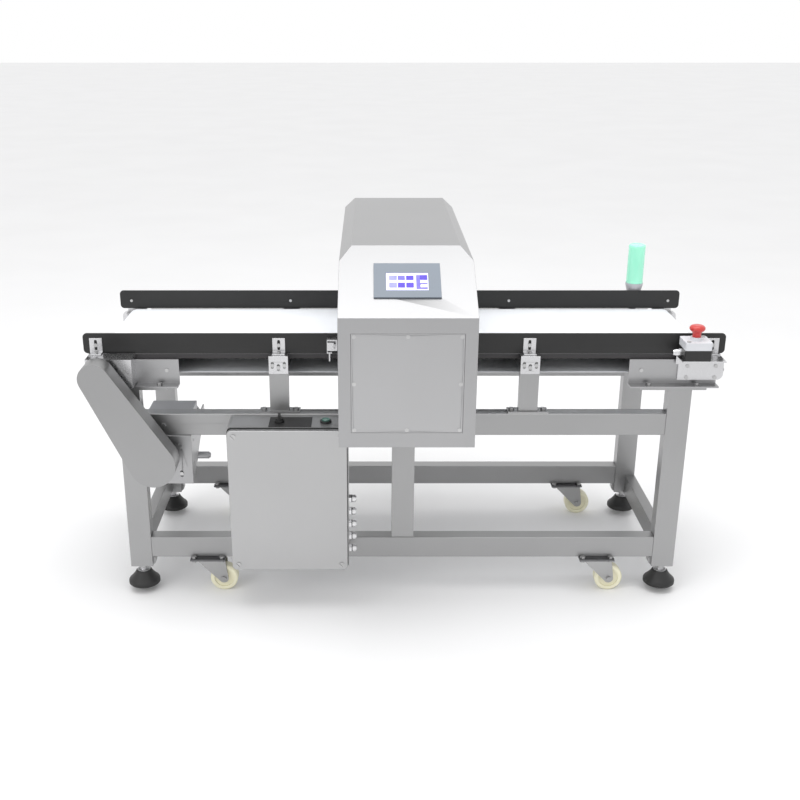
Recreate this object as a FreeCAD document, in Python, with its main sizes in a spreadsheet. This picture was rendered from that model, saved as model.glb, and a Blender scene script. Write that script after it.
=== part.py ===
"""Conveyor metal detector: a belt conveyor on a wheeled tube frame with a detector head.

X runs along the belt, Y from the operator's side to the back, Z up, in millimetres.
The origin is on the floor under the middle of the machine's box. In this file every Y
is measured from the belt's centre line, and LINE is where that line lies behind the
origin. The machine stands on its casters, with its levelling feet wound up.
"""
import FreeCAD
import Part
import Sketcher
import math
import os
import re
from FreeCAD import Placement, Rotation, Vector

# each row is a size's name, its value in millimetres or the formula that it follows, and a note
SIZES = (
    # frame of welded rectangular tube
    ("frame_length", 1500, "over the outer faces of the legs"),
    ("frame_margin", 38, "reach of the frame past the bed on each side"),
    ("frame_depth", "=bed_width + 2 * frame_margin", "over the outer faces of the legs"),
    ("tube_face", 60, "wide face of the frame tube"),
    ("tube_side", 40, "narrow face of the frame tube"),
    ("tube_wall", 2, "wall of every frame tube"),
    ("side_tube", 30, "thickness of the tubes that join front and back legs"),
    ("foot_gap", 10, "clear height between a foot's neck and its leg"),
    ("leg_foot", "=foot_lift + foot_height + washer_thick + neck_height + foot_gap", "height of the legs' lower ends"),
    ("leg_top", 592, "height of the legs' upper ends"),
    ("lower_beam_rise", 30, "height of the lower long beams over the legs' ends"),
    ("lower_beam_level", "=leg_foot + lower_beam_rise", "underside of the lower long beams"),
    ("leg_rise", 66, "height of the legs over the upper long beams"),
    ("upper_beam_level", "=leg_top - leg_rise - tube_face", "underside of the upper long beams"),
    ("cap_length", 170, "length of the plate welded on each leg"),
    ("cap_overhang", 37, "reach of that plate past the end of the frame"),
    ("cap_thick", 6, "thickness of that plate"),
    ("plug_thick", 10, "threaded plate in the lower end of each leg"),
    ("lug_reach", 8, "reach of the rounded lug on a leg's inner side"),
    ("lug_height", 28, "height of that lug"),
    ("lug_wide", 20, "width of that lug"),
    # levelling feet
    ("foot_radius", 43, "radius of the rubber bell"),
    ("foot_lift", 18, "height of the bells over the floor, wound up"),
    ("foot_rim", 12, "height of the bell's upright rim"),
    ("foot_height", 40, "height of the bell"),
    ("foot_crown", 21, "radius of the bell's flat top"),
    ("washer_radius", 18, "radius of the steel disc on the bell"),
    ("washer_thick", 3, "thickness of that disc"),
    ("neck_radius", 10, "radius of the spindle's neck"),
    ("neck_height", 5, "height of the neck"),
    ("spindle_radius", 8, "radius of the threaded spindle"),
    ("spindle_length", 75, "length of the spindle over the neck"),
    # casters
    ("caster_inset", 215, "distance of the swivel axes from the frame's ends"),
    ("caster_x", "=frame_length / 2 - caster_inset", "distance of the swivel axes from the middle"),
    ("caster_trail", 40, "distance of a wheel's axle from its swivel axis"),
    ("caster_plate_length", 96, "caster top plate along X"),
    ("caster_plate_width", 80, "caster top plate along Y"),
    ("caster_plate_thick", 5, "thickness of the caster top plate"),
    ("caster_bolt_x", 76, "bolt spacing of the caster plate along X"),
    ("caster_bolt_y", 57, "bolt spacing of the caster plate along Y"),
    ("wheel_radius", 38, "radius of the caster wheel"),
    ("wheel_width", 30, "width of the caster wheel"),
    ("wheel_bevel", 3, "bevel at each side of the tread"),
    ("wheel_rim", 27, "radius of the hollow in a wheel's side"),
    ("wheel_hub", 13, "radius of the hub"),
    ("wheel_hollow", 4, "depth of the hollow in a wheel's side"),
    ("axle_radius", 5, "radius of the wheel axle"),
    ("fork_sheet", 3, "sheet of the swivel fork"),
    ("fork_front", 33, "reach of the fork before its swivel axis"),
    ("fork_back", 45, "reach of the fork's top behind its swivel axis"),
    ("fork_tip", 13, "radius of the fork's end round the axle"),
    ("race_radius", 24, "radius of the swivel's ball race"),
    ("race_height", 6, "height of the ball race"),
    ("kingpin_radius", 8, "radius of the swivel's king pin"),
    # belt, rollers and bed
    ("channel_high", 82, "height of the belt over the legs' plates"),
    ("belt_level", "=leg_top + cap_thick + channel_high", "height of the belt's upper face"),
    ("belt_gap", 10, "gap between the belt and each guide rail"),
    ("belt_width", "=bed_width - 2 * (rail_thick + belt_gap)", "width of the belt"),
    ("belt_thick", 1.5, "thickness of the belt"),
    ("turn_radius", 28, "outer radius of the belt round a roller"),
    ("roller_inset", 36, "distance of each roller's axis from the channel's end"),
    ("roller_x", "=channel_outer - roller_inset", "distance of each roller's axis from the middle"),
    ("drum_margin", 2, "reach of a roller's body past the belt on each side"),
    ("roller_face", "=belt_width + 2 * drum_margin", "length of a roller's body"),
    ("shaft_radius", 10, "radius of the roller shafts"),
    ("bed_inset", 73, "distance of the bed's end from the channel's end"),
    ("bed_length", "=2 * (channel_outer - bed_inset)", "length of the slider bed"),
    ("bed_width", 464, "width of the slider bed"),
    ("bed_thick", 12, "thickness of the slider bed"),
    # end channels and roller bearings
    ("channel_length", 230, "length of an end channel"),
    ("channel_inner", "=channel_outer - channel_length", "distance of a channel's inner end from the middle"),
    ("conveyor_overhang", 68, "reach of the end channels past the frame"),
    ("channel_outer", "=frame_length / 2 + conveyor_overhang", "distance of a channel's outer end from the middle"),
    ("channel_sheet", 4, "sheet of the end channels"),
    ("channel_step", 8, "distance of a channel's web outside the bed's edge"),
    ("channel_y", "=bed_width / 2 + channel_step", "distance of a channel's web from the centre line"),
    ("channel_foot", 32, "reach of a channel's lower flange"),
    ("channel_lip", 16, "reach of a channel's upper flange"),
    ("shaft_window", 14, "radius of the window round a shaft in the web"),
    ("plate_length", 119, "length of a bearing plate"),
    ("plate_inner", "=plate_outer - plate_length", "distance of a bearing plate's inner end from the middle"),
    ("plate_overhang", 15, "reach of a bearing plate past its channel"),
    ("plate_outer", "=channel_outer + plate_overhang", "distance of a bearing plate's outer end from the middle"),
    ("plate_drop", 68, "distance of a bearing plate's lower edge below the belt"),
    ("plate_low", "=belt_level - plate_drop", "lower edge of a bearing plate"),
    ("plate_sink", 12, "distance of its upper edge below the belt"),
    ("plate_high", "=belt_level - plate_sink", "upper edge of a bearing plate"),
    ("plate_thick", 6, "thickness of a bearing plate"),
    ("plate_round", 16, "rounding of a bearing plate's outer corners"),
    ("drive_box_length", 118, "length of the folded drive bearing bracket"),
    ("drive_box_inner", "=channel_outer - drive_box_length", "inner end of the folded drive bearing bracket"),
    ("drive_box_drop", 75, "distance of that bracket's lower end below the belt"),
    ("drive_box_low", "=belt_level - drive_box_drop", "lower end of that bracket"),
    ("drive_box_reach", 55, "reach of that bracket before the channel web"),
    # bed supports
    ("support_x", 326, "distance of the bed supports from the middle"),
    ("post_wide", 50, "width of a support post"),
    ("post_deep", 20, "depth of a support post"),
    ("post_inset", 8, "distance of a post's outer face inside the frame's face"),
    ("post_y", "=frame_depth / 2 - post_inset", "distance of a post's outer face from the centre line"),
    ("base_length", 106, "length of a post's base plate"),
    ("base_wide", 38, "width of a post's base plate"),
    ("base_thick", 5, "thickness of a post's base plate"),
    ("crossbar_high", 25, "height of the bar under the bed"),
    # guide rails and their brackets
    ("rail_overhang", 1.5, "reach of a guide rail past the bearing plates"),
    ("rail_length", "=2 * (plate_outer + rail_overhang)", "length of a guide rail"),
    ("rail_height", 54, "height of a guide rail"),
    ("rail_thick", 4, "thickness of a guide rail"),
    ("rail_lift", 2, "gap between bed and guide rail"),
    ("rail_round", 11, "rounding of a guide rail's corners"),
    ("shelf_step", 2, "height of the bracket shelves over the belt"),
    ("shelf_level", "=belt_level + shelf_step", "upper face of the bracket shelves"),
    ("bracket_inset", 17, "distance of an end bracket's middle from the channel's end"),
    ("bracket_end_x", "=channel_outer - bracket_inset", "distance of the end brackets from the middle"),
    ("bracket_wide", 33, "width of a rail bracket"),
    ("bracket_sheet", 3, "sheet of brackets and shelves"),
    ("bracket_high", 40, "height of a rail bracket"),
    ("bracket_foot", 25, "reach of a rail bracket's foot"),
    ("bracket_slot", 27, "length of the slot in a rail bracket"),
    ("slot_wide", 7, "width of the slots"),
    ("shelf_drop", 48, "height of a shelf's upright part"),
    ("shelf_slot", 18, "length of the slots in a shelf"),
    ("end_shelf_drop", 26, "height of an end shelf's upright part"),
    ("end_shelf_reach", 64, "reach of the shelf under the stop switch"),
    ("end_shelf_length", 112, "length of the shelf under the stop switch"),
    ("end_shelf_inner", "=channel_outer - end_shelf_length", "inner end of the end shelves"),
    ("rear_shelf_length", 58, "length of a rear end shelf"),
    ("rear_shelf_inner", "=channel_outer - rear_shelf_length", "inner end of the rear end shelves from the middle"),
    # chain drive
    ("guard_gap", 15, "gap between the drive bracket's face and the guard"),
    ("guard_front", "=channel_y + drive_box_reach + guard_gap + guard_depth", "front of the chain guard before the centre line"),
    ("guard_depth", 60, "depth of the chain guard"),
    ("guard_sheet", 2, "sheet of the chain guard"),
    ("guard_top_radius", 40, "radius of the guard's upper end"),
    ("guard_low_radius", 60, "radius of the guard's lower end"),
    ("motor_inset", 100, "distance of the motor shaft from the frame's end"),
    ("motor_x", "=frame_length / 2 - motor_inset", "distance of the motor shaft from the middle"),
    ("motor_drop", 47, "distance of the motor shaft below the upper beams"),
    ("motor_level", "=upper_beam_level - motor_drop", "height of the motor shaft"),
    ("chain_pitch", 12.7, "pitch of the roller chain"),
    ("chain_roller", 4.3, "radius of the chain's rollers"),
    ("chain_plate", 1.5, "thickness of the chain's side plates"),
    ("chain_height", 11.8, "height of the chain's side plates"),
    ("sprocket_thick", 7, "thickness of the sprockets"),
    ("sprocket_tip", 5.5, "reach of the teeth over the pitch circle"),
    ("sprocket_y", "=guard_front - guard_depth / 2", "distance of the sprockets before the centre line"),
    ("roller_teeth", 13, "teeth of the sprocket on the drive roller"),
    ("motor_teeth", 21, "teeth of the sprocket on the motor"),
    ("mount_side", 28, "distance of the bracket's outer edge from the shaft"),
    ("mount_left", "=motor_x - mount_side", "outer edge of the motor bracket"),
    ("mount_reach", 88, "distance of the bracket's inner edge from the shaft"),
    ("mount_right", "=motor_x - mount_reach", "inner edge of the motor bracket"),
    ("mount_high", 138, "height of the motor bracket below the upper beam"),
    ("mount_low", "=upper_beam_level - mount_high", "lower edge of the motor bracket"),
    ("mount_sheet", 4, "sheet of the motor bracket"),
    ("mount_depth", 250, "depth of the motor bracket's side wall"),
    ("gearbox_wide", 118, "width of the gearbox"),
    ("gearbox_high", 116, "height of the gearbox"),
    ("gearbox_deep", 110, "depth of the gearbox"),
    ("motor_radius", 48, "radius of the motor's body"),
    ("motor_length", 190, "length of the motor's body"),
    ("terminal_wide", 119, "width of the motor's terminal box"),
    ("terminal_deep", 110, "depth of the terminal box"),
    ("terminal_rise", 44, "height of the terminal box's lid over the beam's underside"),
    ("terminal_level", "=upper_beam_level + terminal_rise", "height of the terminal box's lid"),
    ("fin_reach", 3, "reach of the motor's cooling fins"),
    ("fin_thick", 4, "thickness of a cooling fin"),
    ("inlet_step", 150, "distance of the motor's cable inlet behind the frame's face"),
    ("motor_inlet_y", "=frame_depth / 2 - inlet_step", "cable inlet on the motor before the centre line"),
    ("inlet_drop", 118, "distance of that inlet below the upper beams"),
    ("motor_inlet_level", "=upper_beam_level - inlet_drop", "height of that cable inlet"),
    ("inlet_reach", 22, "reach of that inlet past the motor bracket"),
    ("motor_inlet_end", "=mount_right - inlet_reach", "end of that cable inlet from the middle"),
    # detector head
    ("housing_width", 330, "width of the detector housing along the belt"),
    ("head_front", 264, "depth of the head before its aperture"),
    ("housing_front", "=aperture_width / 2 + head_front", "front of the housing before the centre line"),
    ("head_rear", 205, "depth of the head behind its aperture"),
    ("housing_rear", "=aperture_width / 2 + head_rear", "back of the housing behind the centre line"),
    ("housing_height", 446.5, "height of the housing over the upper beams"),
    ("slope_rise", 123.3, "height of the sloped control face"),
    ("slope_run", 230, "depth of the sloped control face"),
    ("edge_cut_x", 30, "bevel of the housing's upper edges along X"),
    ("edge_cut_z", 28, "bevel of the housing's upper edges along Z"),
    ("housing_wall", 3, "sheet of the housing"),
    ("aperture_gap", 10, "gap between a guide rail and the aperture's side"),
    ("aperture_width", "=bed_width + 2 * aperture_gap", "clear width of the aperture in the housing"),
    ("aperture_drop", 68, "depth of the aperture below the belt"),
    ("aperture_low", "=belt_level - aperture_drop", "lower edge of that aperture"),
    ("aperture_rise", 142, "height of the aperture over the belt"),
    ("aperture_high", "=belt_level + aperture_rise", "upper edge of that aperture"),
    ("liner_wall", 4, "thickness of the aperture's plastic liner"),
    ("coil_length", 120, "length of the search coil block along X"),
    ("coil_wall", 25, "thickness of the search coil block"),
    ("panel_wide", 268, "width of the service panel"),
    ("panel_high", 247, "height of the service panel"),
    ("panel_rise", 38, "height of the service panel over the head's underside"),
    ("panel_low", "=upper_beam_level + tube_face + panel_rise", "lower edge of the service panel"),
    ("panel_thick", 2, "thickness of the service panel"),
    ("panel_gap", 0.5, "gap round the service panel"),
    ("ledge_wide", 14, "ledge behind the service panel's edge"),
    ("bezel_wide", 161, "width of the touch panel"),
    ("bezel_high", 122, "height of the touch panel"),
    ("bezel_thick", 4, "thickness of the touch panel's frame"),
    ("bezel_up", 129, "distance of its middle up the sloped face"),
    ("screen_wide", 101, "width of the touch screen"),
    ("screen_high", 62, "height of the touch screen"),
    ("screen_drop", 5, "distance of the screen's middle below the frame's"),
    ("screen_sink", 1.2, "depth of the screen's recess"),
    ("screen_thick", 2, "thickness of the screen's glass"),
    ("display_box", 30, "depth of the display's body behind the frame"),
    ("display_margin", 12, "edge of the frame round the display's body"),
    # control cabinet
    ("cabinet_x", 301, "distance of the cabinet's middle from the middle"),
    ("cabinet_wide", 312, "width of the cabinet"),
    ("cabinet_high", 402, "height of the cabinet"),
    ("cabinet_deep", 108, "depth of the cabinet with its door"),
    ("cabinet_rise", 14, "height of the cabinet's underside over the lower beam's"),
    ("cabinet_low", "=lower_beam_level + cabinet_rise", "underside of the cabinet"),
    ("cabinet_wall", 2, "sheet of the cabinet"),
    ("cabinet_round", 12, "rounding of the cabinet's corners"),
    ("door_deep", 16, "depth of the cabinet door"),
    ("door_inset", 3, "step from the cabinet's outline in to the door's"),
    ("gasket_thick", 4, "thickness of the door gasket"),
    ("gasket_wide", 12, "width of the door gasket"),
    ("gland_rise", 42, "height of the lowest cable gland in the cabinet"),
    ("gland_low", "=cabinet_low + gland_rise", "height of the lowest cable gland"),
    ("gland_pitch", 36.5, "spacing of the cable glands"),
    ("gland_radius", 10, "radius of a gland's hexagon"),
    ("gland_cap", 8, "radius of a gland's cap"),
    ("gland_hex", 7, "length of a gland's hexagon"),
    ("gland_length", 20, "length of a gland"),
    ("gland_bore", 4, "radius of the cable's way through a gland"),
    ("gland_thread", 8, "radius of a gland's threaded stub"),
    ("gland_step", 55, "distance of the glands before the cabinet's back"),
    ("gland_y", "=frame_depth / 2 + gland_step", "distance of the glands before the centre line"),
    ("label_wide", 110, "width of the control plate"),
    ("label_deep", 72, "depth of the control plate"),
    ("label_thick", 1, "thickness of the control plate"),
    ("label_step", 7, "distance of the control plate from the cabinet's middle"),
    ("label_x", "=cabinet_x - label_step", "distance of the control plate from the middle"),
    ("control_step", 51, "distance of the controls before the cabinet's back"),
    ("control_y", "=frame_depth / 2 + control_step", "distance of the controls before the centre line"),
    ("selector_step", 22, "distance of the selector from the cabinet's middle"),
    ("selector_x", "=cabinet_x + selector_step", "distance of the selector from the middle"),
    ("button_step", 98, "distance of the start button from the cabinet's middle"),
    ("button_x", "=cabinet_x - button_step", "distance of the start button from the middle"),
    ("collar_radius", 15, "radius of the collars of selector and button"),
    ("collar_high", 6, "height of those collars"),
    ("knob_radius", 11, "radius of the selector knob and the button"),
    ("knob_high", 14, "height of the selector knob over its collar"),
    ("control_stem", 6, "radius of the stems of selector and button"),
    ("control_depth", 14, "reach of those stems into the cabinet"),
    ("button_radius", 11, "radius of the start button's face"),
    ("grip_wide", 6, "width of the selector's grip bar"),
    ("button_rise", 3.5, "rise of the button over its collar"),
    ("button_travel", 3, "travel of the start button"),
    # stop switch
    ("stop_inset", 4.5, "distance of the stop switch from its shelf's inner end"),
    ("stop_x", "=end_shelf_inner + stop_inset + stop_side / 2", "distance of the stop switch from the middle"),
    ("stop_side", 68, "side of the stop switch box"),
    ("stop_gap", 9, "gap between the guide rail and the stop switch box"),
    ("stop_rear", "=bed_width / 2 + stop_gap", "back of that box before the centre line"),
    ("stop_base_high", 28, "height of the box's base"),
    ("stop_lid_high", 20, "height of the box's lid"),
    ("stop_wall", 2.5, "wall of the box"),
    ("stop_round", 5, "rounding of the box's corners"),
    ("stop_collar_radius", 15, "radius of the collar under the mushroom"),
    ("stop_collar_high", 8, "height of that collar"),
    ("stop_stem", 11, "radius of the mushroom's stem"),
    ("mushroom_radius", 20, "radius of the mushroom head"),
    ("mushroom_high", 31, "height of the mushroom over its collar"),
    ("stop_travel", 6, "travel of the mushroom"),
    ("stop_gland_radius", 9, "radius of the stop switch's gland"),
    ("stop_gland_length", 23, "length of that gland"),
    # signal light
    ("light_inset", 115, "distance of the signal light from the channel's end"),
    ("light_x", "=channel_outer - light_inset", "distance of the signal light from the middle"),
    ("light_step", 17, "distance of the signal light behind the channel's web"),
    ("light_y", "=channel_y + light_step", "distance of the signal light behind the centre line"),
    ("light_radius", 26, "radius of the lens"),
    ("light_base_high", 40, "height of the tapered base"),
    ("light_joint", "=light_base_low + light_base_high", "height where lens and base meet"),
    ("lens_high", 116, "height of the lens"),
    ("light_top", "=light_joint + lens_high", "height of the lens's top"),
    ("light_rise", 32, "height of the tapered base over the belt"),
    ("light_base_low", "=belt_level + light_rise", "underside of the tapered base"),
    ("light_base_radius", 18, "radius of the base's lower end"),
    ("light_pole", 10, "radius of the pole"),
    ("light_foot", 15, "half the side of the pole's foot plate"),
    ("light_foot_thick", 4, "thickness of the pole's foot plate"),
    # photo sensor
    ("eye_gap", 22, "distance of the photo sensor from the head"),
    ("eye_x", "=housing_width / 2 + eye_gap", "distance of the photo sensor from the middle"),
    ("eye_plate_wide", 26, "width of its bracket"),
    ("eye_rise", 8, "height of the sensor's bracket over the belt"),
    ("eye_plate_low", "=belt_level + eye_rise", "lower edge of its bracket"),
    ("eye_plate_tall", 36, "height of the sensor's bracket"),
    ("eye_plate_high", "=eye_plate_low + eye_plate_tall", "upper edge of its bracket"),
    ("eye_body_deep", 24, "depth of the sensor's body"),
    ("eye_body_wide", 16, "width of the sensor's body"),
    ("eye_body_high", 22, "height of the sensor's body"),
    # fasteners and clearances
    ("bolt_radius", 4, "radius of the frame bolts"),
    ("bolt_head", 7.4, "radius over the corners of a frame bolt's head"),
    ("bolt_head_high", 5.5, "height of a frame bolt's head"),
    ("screw_radius", 2.5, "radius of the small screws"),
    ("screw_head", 5, "radius of the small screws' heads"),
    ("screw_head_high", 2.5, "height of the small screws' heads"),
    ("run_fit", 0.05, "radial clearance of a shaft in its bearing"),
    ("free_gap", 0.3, "gap between faces that pass each other"),
    ("swivel_gap", 0.5, "gap between swivel fork and plate"),
    ("hole_gap", 0.5, "radial clearance of a bolt or cable hole"),
    ("screw_nub", 2, "reach of a small screw's nut"),
    ("screw_nut", 4, "radius of that nut"),
    ("panel_screw_high", 1, "height of the service panel's screw heads"),
    ("turn_head", 7, "radius of the door's quarter-turn heads"),
    ("door_lock", 19, "distance of those heads from the door's edges"),
    ("lock_nut_radius", 13, "radius over the corners of a foot's lock nut"),
    ("lock_nut_high", 8, "height of that nut"),
    ("base_bolt", 42, "distance of a trestle's bolts from its post's middle"),
    ("cap_bolt_in", 21, "distance of the inner channel bolt from its plate's end"),
    ("flange_bolt_inner", "=frame_length / 2 + cap_overhang - cap_length + cap_bolt_in", "inner bolt of a channel's foot from the middle"),
    ("cap_bolt_out", 24, "distance of the outer channel bolt from its plate's end"),
    ("flange_bolt_outer", "=frame_length / 2 + cap_overhang - cap_bolt_out", "outer bolt of a channel's foot from the middle"),
    ("web_screw_edge", 32, "distance of the web's screw from the channel's inner end"),
    ("web_screw_x", "=channel_inner + web_screw_edge", "screw in a channel's web from the middle"),
    ("web_screw_drop", 43, "distance of that screw below the belt"),
    ("web_screw_level", "=belt_level - web_screw_drop", "height of that screw"),
    ("plate_bolt_in", 24, "distance of the inner screws from the bearing plate's end"),
    ("plate_bolt_inner", "=plate_inner + plate_bolt_in", "inner screws of a bearing plate from the middle"),
    ("plate_bolt_out", 21, "distance of the outer screws from the bearing plate's end"),
    ("plate_bolt_outer", "=plate_outer - plate_bolt_out", "outer screws of a bearing plate from the middle"),
    ("plate_bolt_rise", 7, "height of the lower screws over the bearing plate's edge"),
    ("plate_bolt_low", "=plate_low + plate_bolt_rise", "height of the lower screws of a bearing plate"),
    ("plate_bolt_sink", 18, "distance of the upper screws below the bearing plate's edge"),
    ("plate_bolt_high", "=plate_high - plate_bolt_sink", "height of the upper screws of a bearing plate"),
    ("bracket_screw_edge", 18, "distance of the drive bracket's screw from its inner end"),
    ("bracket_screw_x", "=drive_box_inner + bracket_screw_edge", "screw in the drive bracket's face from the middle"),
    ("beam_bolt_inset", 117, "distance of the front beam's bolt from the frame's end"),
    ("beam_bolt_x", "=frame_length / 2 - beam_bolt_inset", "bolt in the upper front beam from the middle"),
    ("beam_bolt_rise", 27, "height of that bolt over the beam's underside"),
    ("beam_bolt_level", "=upper_beam_level + beam_bolt_rise", "height of that bolt"),
)

# ---------------------------------------------------------------- document and sheet
DOC = FreeCAD.newDocument("conveyor_metal_detector")
SHEET = DOC.addObject("Spreadsheet::Sheet", "sizes")
for row, (alias, size, note) in enumerate(SIZES, start=1):
    SHEET.set(f"A{row}", note)
    SHEET.setAlias(f"B{row}", alias)
for row, (alias, size, note) in enumerate(SIZES, start=1):
    SHEET.set(f"B{row}", str(size))
DOC.recompute()
ALIASES = {alias for alias, size, note in SIZES}

# places that several pieces share, as expressions of the sheet's cells
LINE = "(housing_front - housing_rear) / 2"
LEG_X = "(frame_length / 2 - tube_face / 2)"
LEG_Y = "(frame_depth / 2 - tube_side / 2)"
UPPER_BEAM_TOP = "(upper_beam_level + tube_face)"
CHANNEL_BASE = "(leg_top + cap_thick)"
ROLLER_LEVEL = "(belt_level - turn_radius)"
BED_TOP = "(belt_level - belt_thick - free_gap)"
BED_BASE = f"({BED_TOP} - bed_thick)"
RAIL_BASE = f"({BED_TOP} + rail_lift)"
HOUSING_BASE = UPPER_BEAM_TOP
HOUSING_TOP = f"({HOUSING_BASE} + housing_height)"
SLOPE_BASE = f"({HOUSING_TOP} - slope_rise)"
CABINET_TOP = "(cabinet_low + cabinet_high)"
SLOPE_ANGLE = "atan(slope_rise / slope_run)"
SIDES = {"left": -1, "right": 1}
ENDS = {"front": -1, "rear": 1}
TURNS = {
    "x": Rotation(Vector(0, 1, 0), 90),
    "y": Rotation(Vector(1, 0, 0), -90),
    "z": Rotation(),
}
PLANES = {"x": "YZ_Plane", "y": "XZ_Plane", "z": "XY_Plane"}
NODES = []
HOLES = {}
GLAND_COUNT = 5
MOTOR_FINS = 9


# ---------------------------------------------------------------- helpers
def cells(text):
    """The expression with each size's name tied to its cell in the sheet."""
    return re.sub(
        r"[a-z][a-z_]*",
        lambda word: "sizes." + word.group(0) if word.group(0) in ALIASES else word.group(0),
        str(text),
    )


def bind(item, prop, text):
    item.setExpression(prop, cells(text))


def worth(text):
    """The number that an expression gives now."""
    return float(SHEET.evalExpression(cells(text)))


def place(item, x, y, z, turn=None, line=LINE):
    """Put an object at x, y, z, with y measured from the line."""
    item.Placement = Placement(Vector(), turn or Rotation())
    bind(item, "Placement.Base.x", x)
    bind(item, "Placement.Base.y", f"{y} + {line}")
    bind(item, "Placement.Base.z", z)
    return item


def box(name, start, sides, line=LINE):
    """A block from its low corner and its three sides."""
    item = DOC.addObject("Part::Box", name)
    for prop, text in zip(("Length", "Width", "Height"), sides):
        bind(item, prop, text)
    return place(item, *start, line=line)


def rod(name, axis, start, radius, length, line=LINE):
    """A cylinder along the positive axis from the middle of its first face."""
    item = DOC.addObject("Part::Cylinder", name)
    bind(item, "Radius", radius)
    bind(item, "Height", length)
    return place(item, *start, turn=TURNS[axis], line=line)


def hexagon(name, axis, start, radius, length):
    """A six-sided prism along the positive axis."""
    item = DOC.addObject("Part::Prism", name)
    item.Polygon = 6
    bind(item, "Circumradius", radius)
    bind(item, "Height", length)
    return place(item, *start, turn=TURNS[axis])


def group(name, items):
    """Separate solids that share one object."""
    whole = DOC.addObject("Part::Compound", name)
    whole.Links = list(items)
    return whole


def join(name, items):
    whole = DOC.addObject("Part::MultiFuse", name)
    whole.Shapes = list(items)
    whole.Refine = True
    return whole


def cut(name, base, tools):
    whole = DOC.addObject("Part::Cut", name)
    whole.Base = base
    whole.Tool = tools[0] if len(tools) == 1 else group(name + "_tools", tools)
    return whole


def common(name, first, second):
    whole = DOC.addObject("Part::Common", name)
    whole.Base = first
    whole.Tool = second
    return whole


def node(item, label):
    """Name an object as a sub-part, drilled for its fasteners, with a file of its own."""
    if label in HOLES:
        item.Label = label + "_blank"
        item = cut(label + "_drilled", item, HOLES[label])
    item.Label = label
    NODES.append(item)
    return item


def new_sketch(name, axis, offset):
    """An empty sketch in a body of its own, square to the axis."""
    body = DOC.addObject("PartDesign::Body", name)
    sketch = body.newObject("Sketcher::SketchObject", name + "_sketch")
    role = PLANES[axis]
    plane = next(item for item in body.Origin.OriginFeatures if item.Role == role)
    sketch.AttachmentSupport = (plane, [""])
    sketch.MapMode = "FlatFace"
    sign = "-" if axis == "y" else ""
    bind(sketch, "AttachmentOffset.Base.z", f"{sign}({offset})")
    return body, sketch


def pin_point(sketch, geometry, point, across, up):
    """Tie one point of a sketch to the origin by two expressions."""
    for kind, text in (("DistanceX", across), ("DistanceY", up)):
        index = sketch.addConstraint(Sketcher.Constraint(kind, -1, 1, geometry, point, worth(text)))
        bind(sketch, f"Constraints[{index}]", text)


def polygon(sketch, corners):
    """A closed outline of straight sides through corners given as expressions."""
    count = len(corners)
    first = sketch.GeometryCount
    spots = [Vector(worth(across), worth(up), 0) for across, up in corners]
    for i in range(count):
        sketch.addGeometry(Part.LineSegment(spots[i], spots[(i + 1) % count]), False)
    for i in range(count):
        following = first + (i + 1) % count
        sketch.addConstraint(Sketcher.Constraint("Coincident", first + i, 2, following, 1))
    for i, (across, up) in enumerate(corners):
        pin_point(sketch, first + i, 1, across, up)


def pad(body, sketch, axis, length):
    feature = body.newObject("PartDesign::Pad", body.Name + "_pad")
    feature.Profile = sketch
    feature.Reversed = axis == "y"
    bind(feature, "Length", length)
    sketch.Visibility = False
    return feature


def prism(name, axis, corners, start, length, line=LINE):
    """A body padded along the positive axis from an outline of straight sides."""
    body, sketch = new_sketch(name, axis, start)
    polygon(sketch, corners)
    pad(body, sketch, axis, length)
    return place(body, 0, 0, 0, line=line)


def round_corners(body, axis, radius, keep=None):
    """Round the body's edges that run along the axis, or those that keep picks."""
    DOC.recompute()
    base = body.Tip
    along = TURNS[axis].multVec(Vector(0, 0, 1))
    names = []
    for number, edge in enumerate(base.Shape.Edges, start=1):
        if edge.Curve.TypeId != "Part::GeomLine":
            continue
        straight = abs(edge.tangentAt(edge.FirstParameter).dot(along)) > 0.999
        if straight and (keep is None or keep(edge.CenterOfMass)):
            names.append(f"Edge{number}")
    fillet = body.newObject("PartDesign::Fillet", body.Name + "_fillet")
    fillet.Base = (base, names)
    bind(fillet, "Radius", radius)
    return body


def turned(name, outline):
    """A body turned round Z from a half outline of radius and height."""
    body, sketch = new_sketch(name, "y", 0)
    polygon(sketch, outline)
    feature = body.newObject("PartDesign::Revolution", name + "_turn")
    feature.Profile = sketch
    feature.ReferenceAxis = (sketch, ["V_Axis"])
    feature.Angle = 360
    sketch.Visibility = False
    return body


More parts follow.
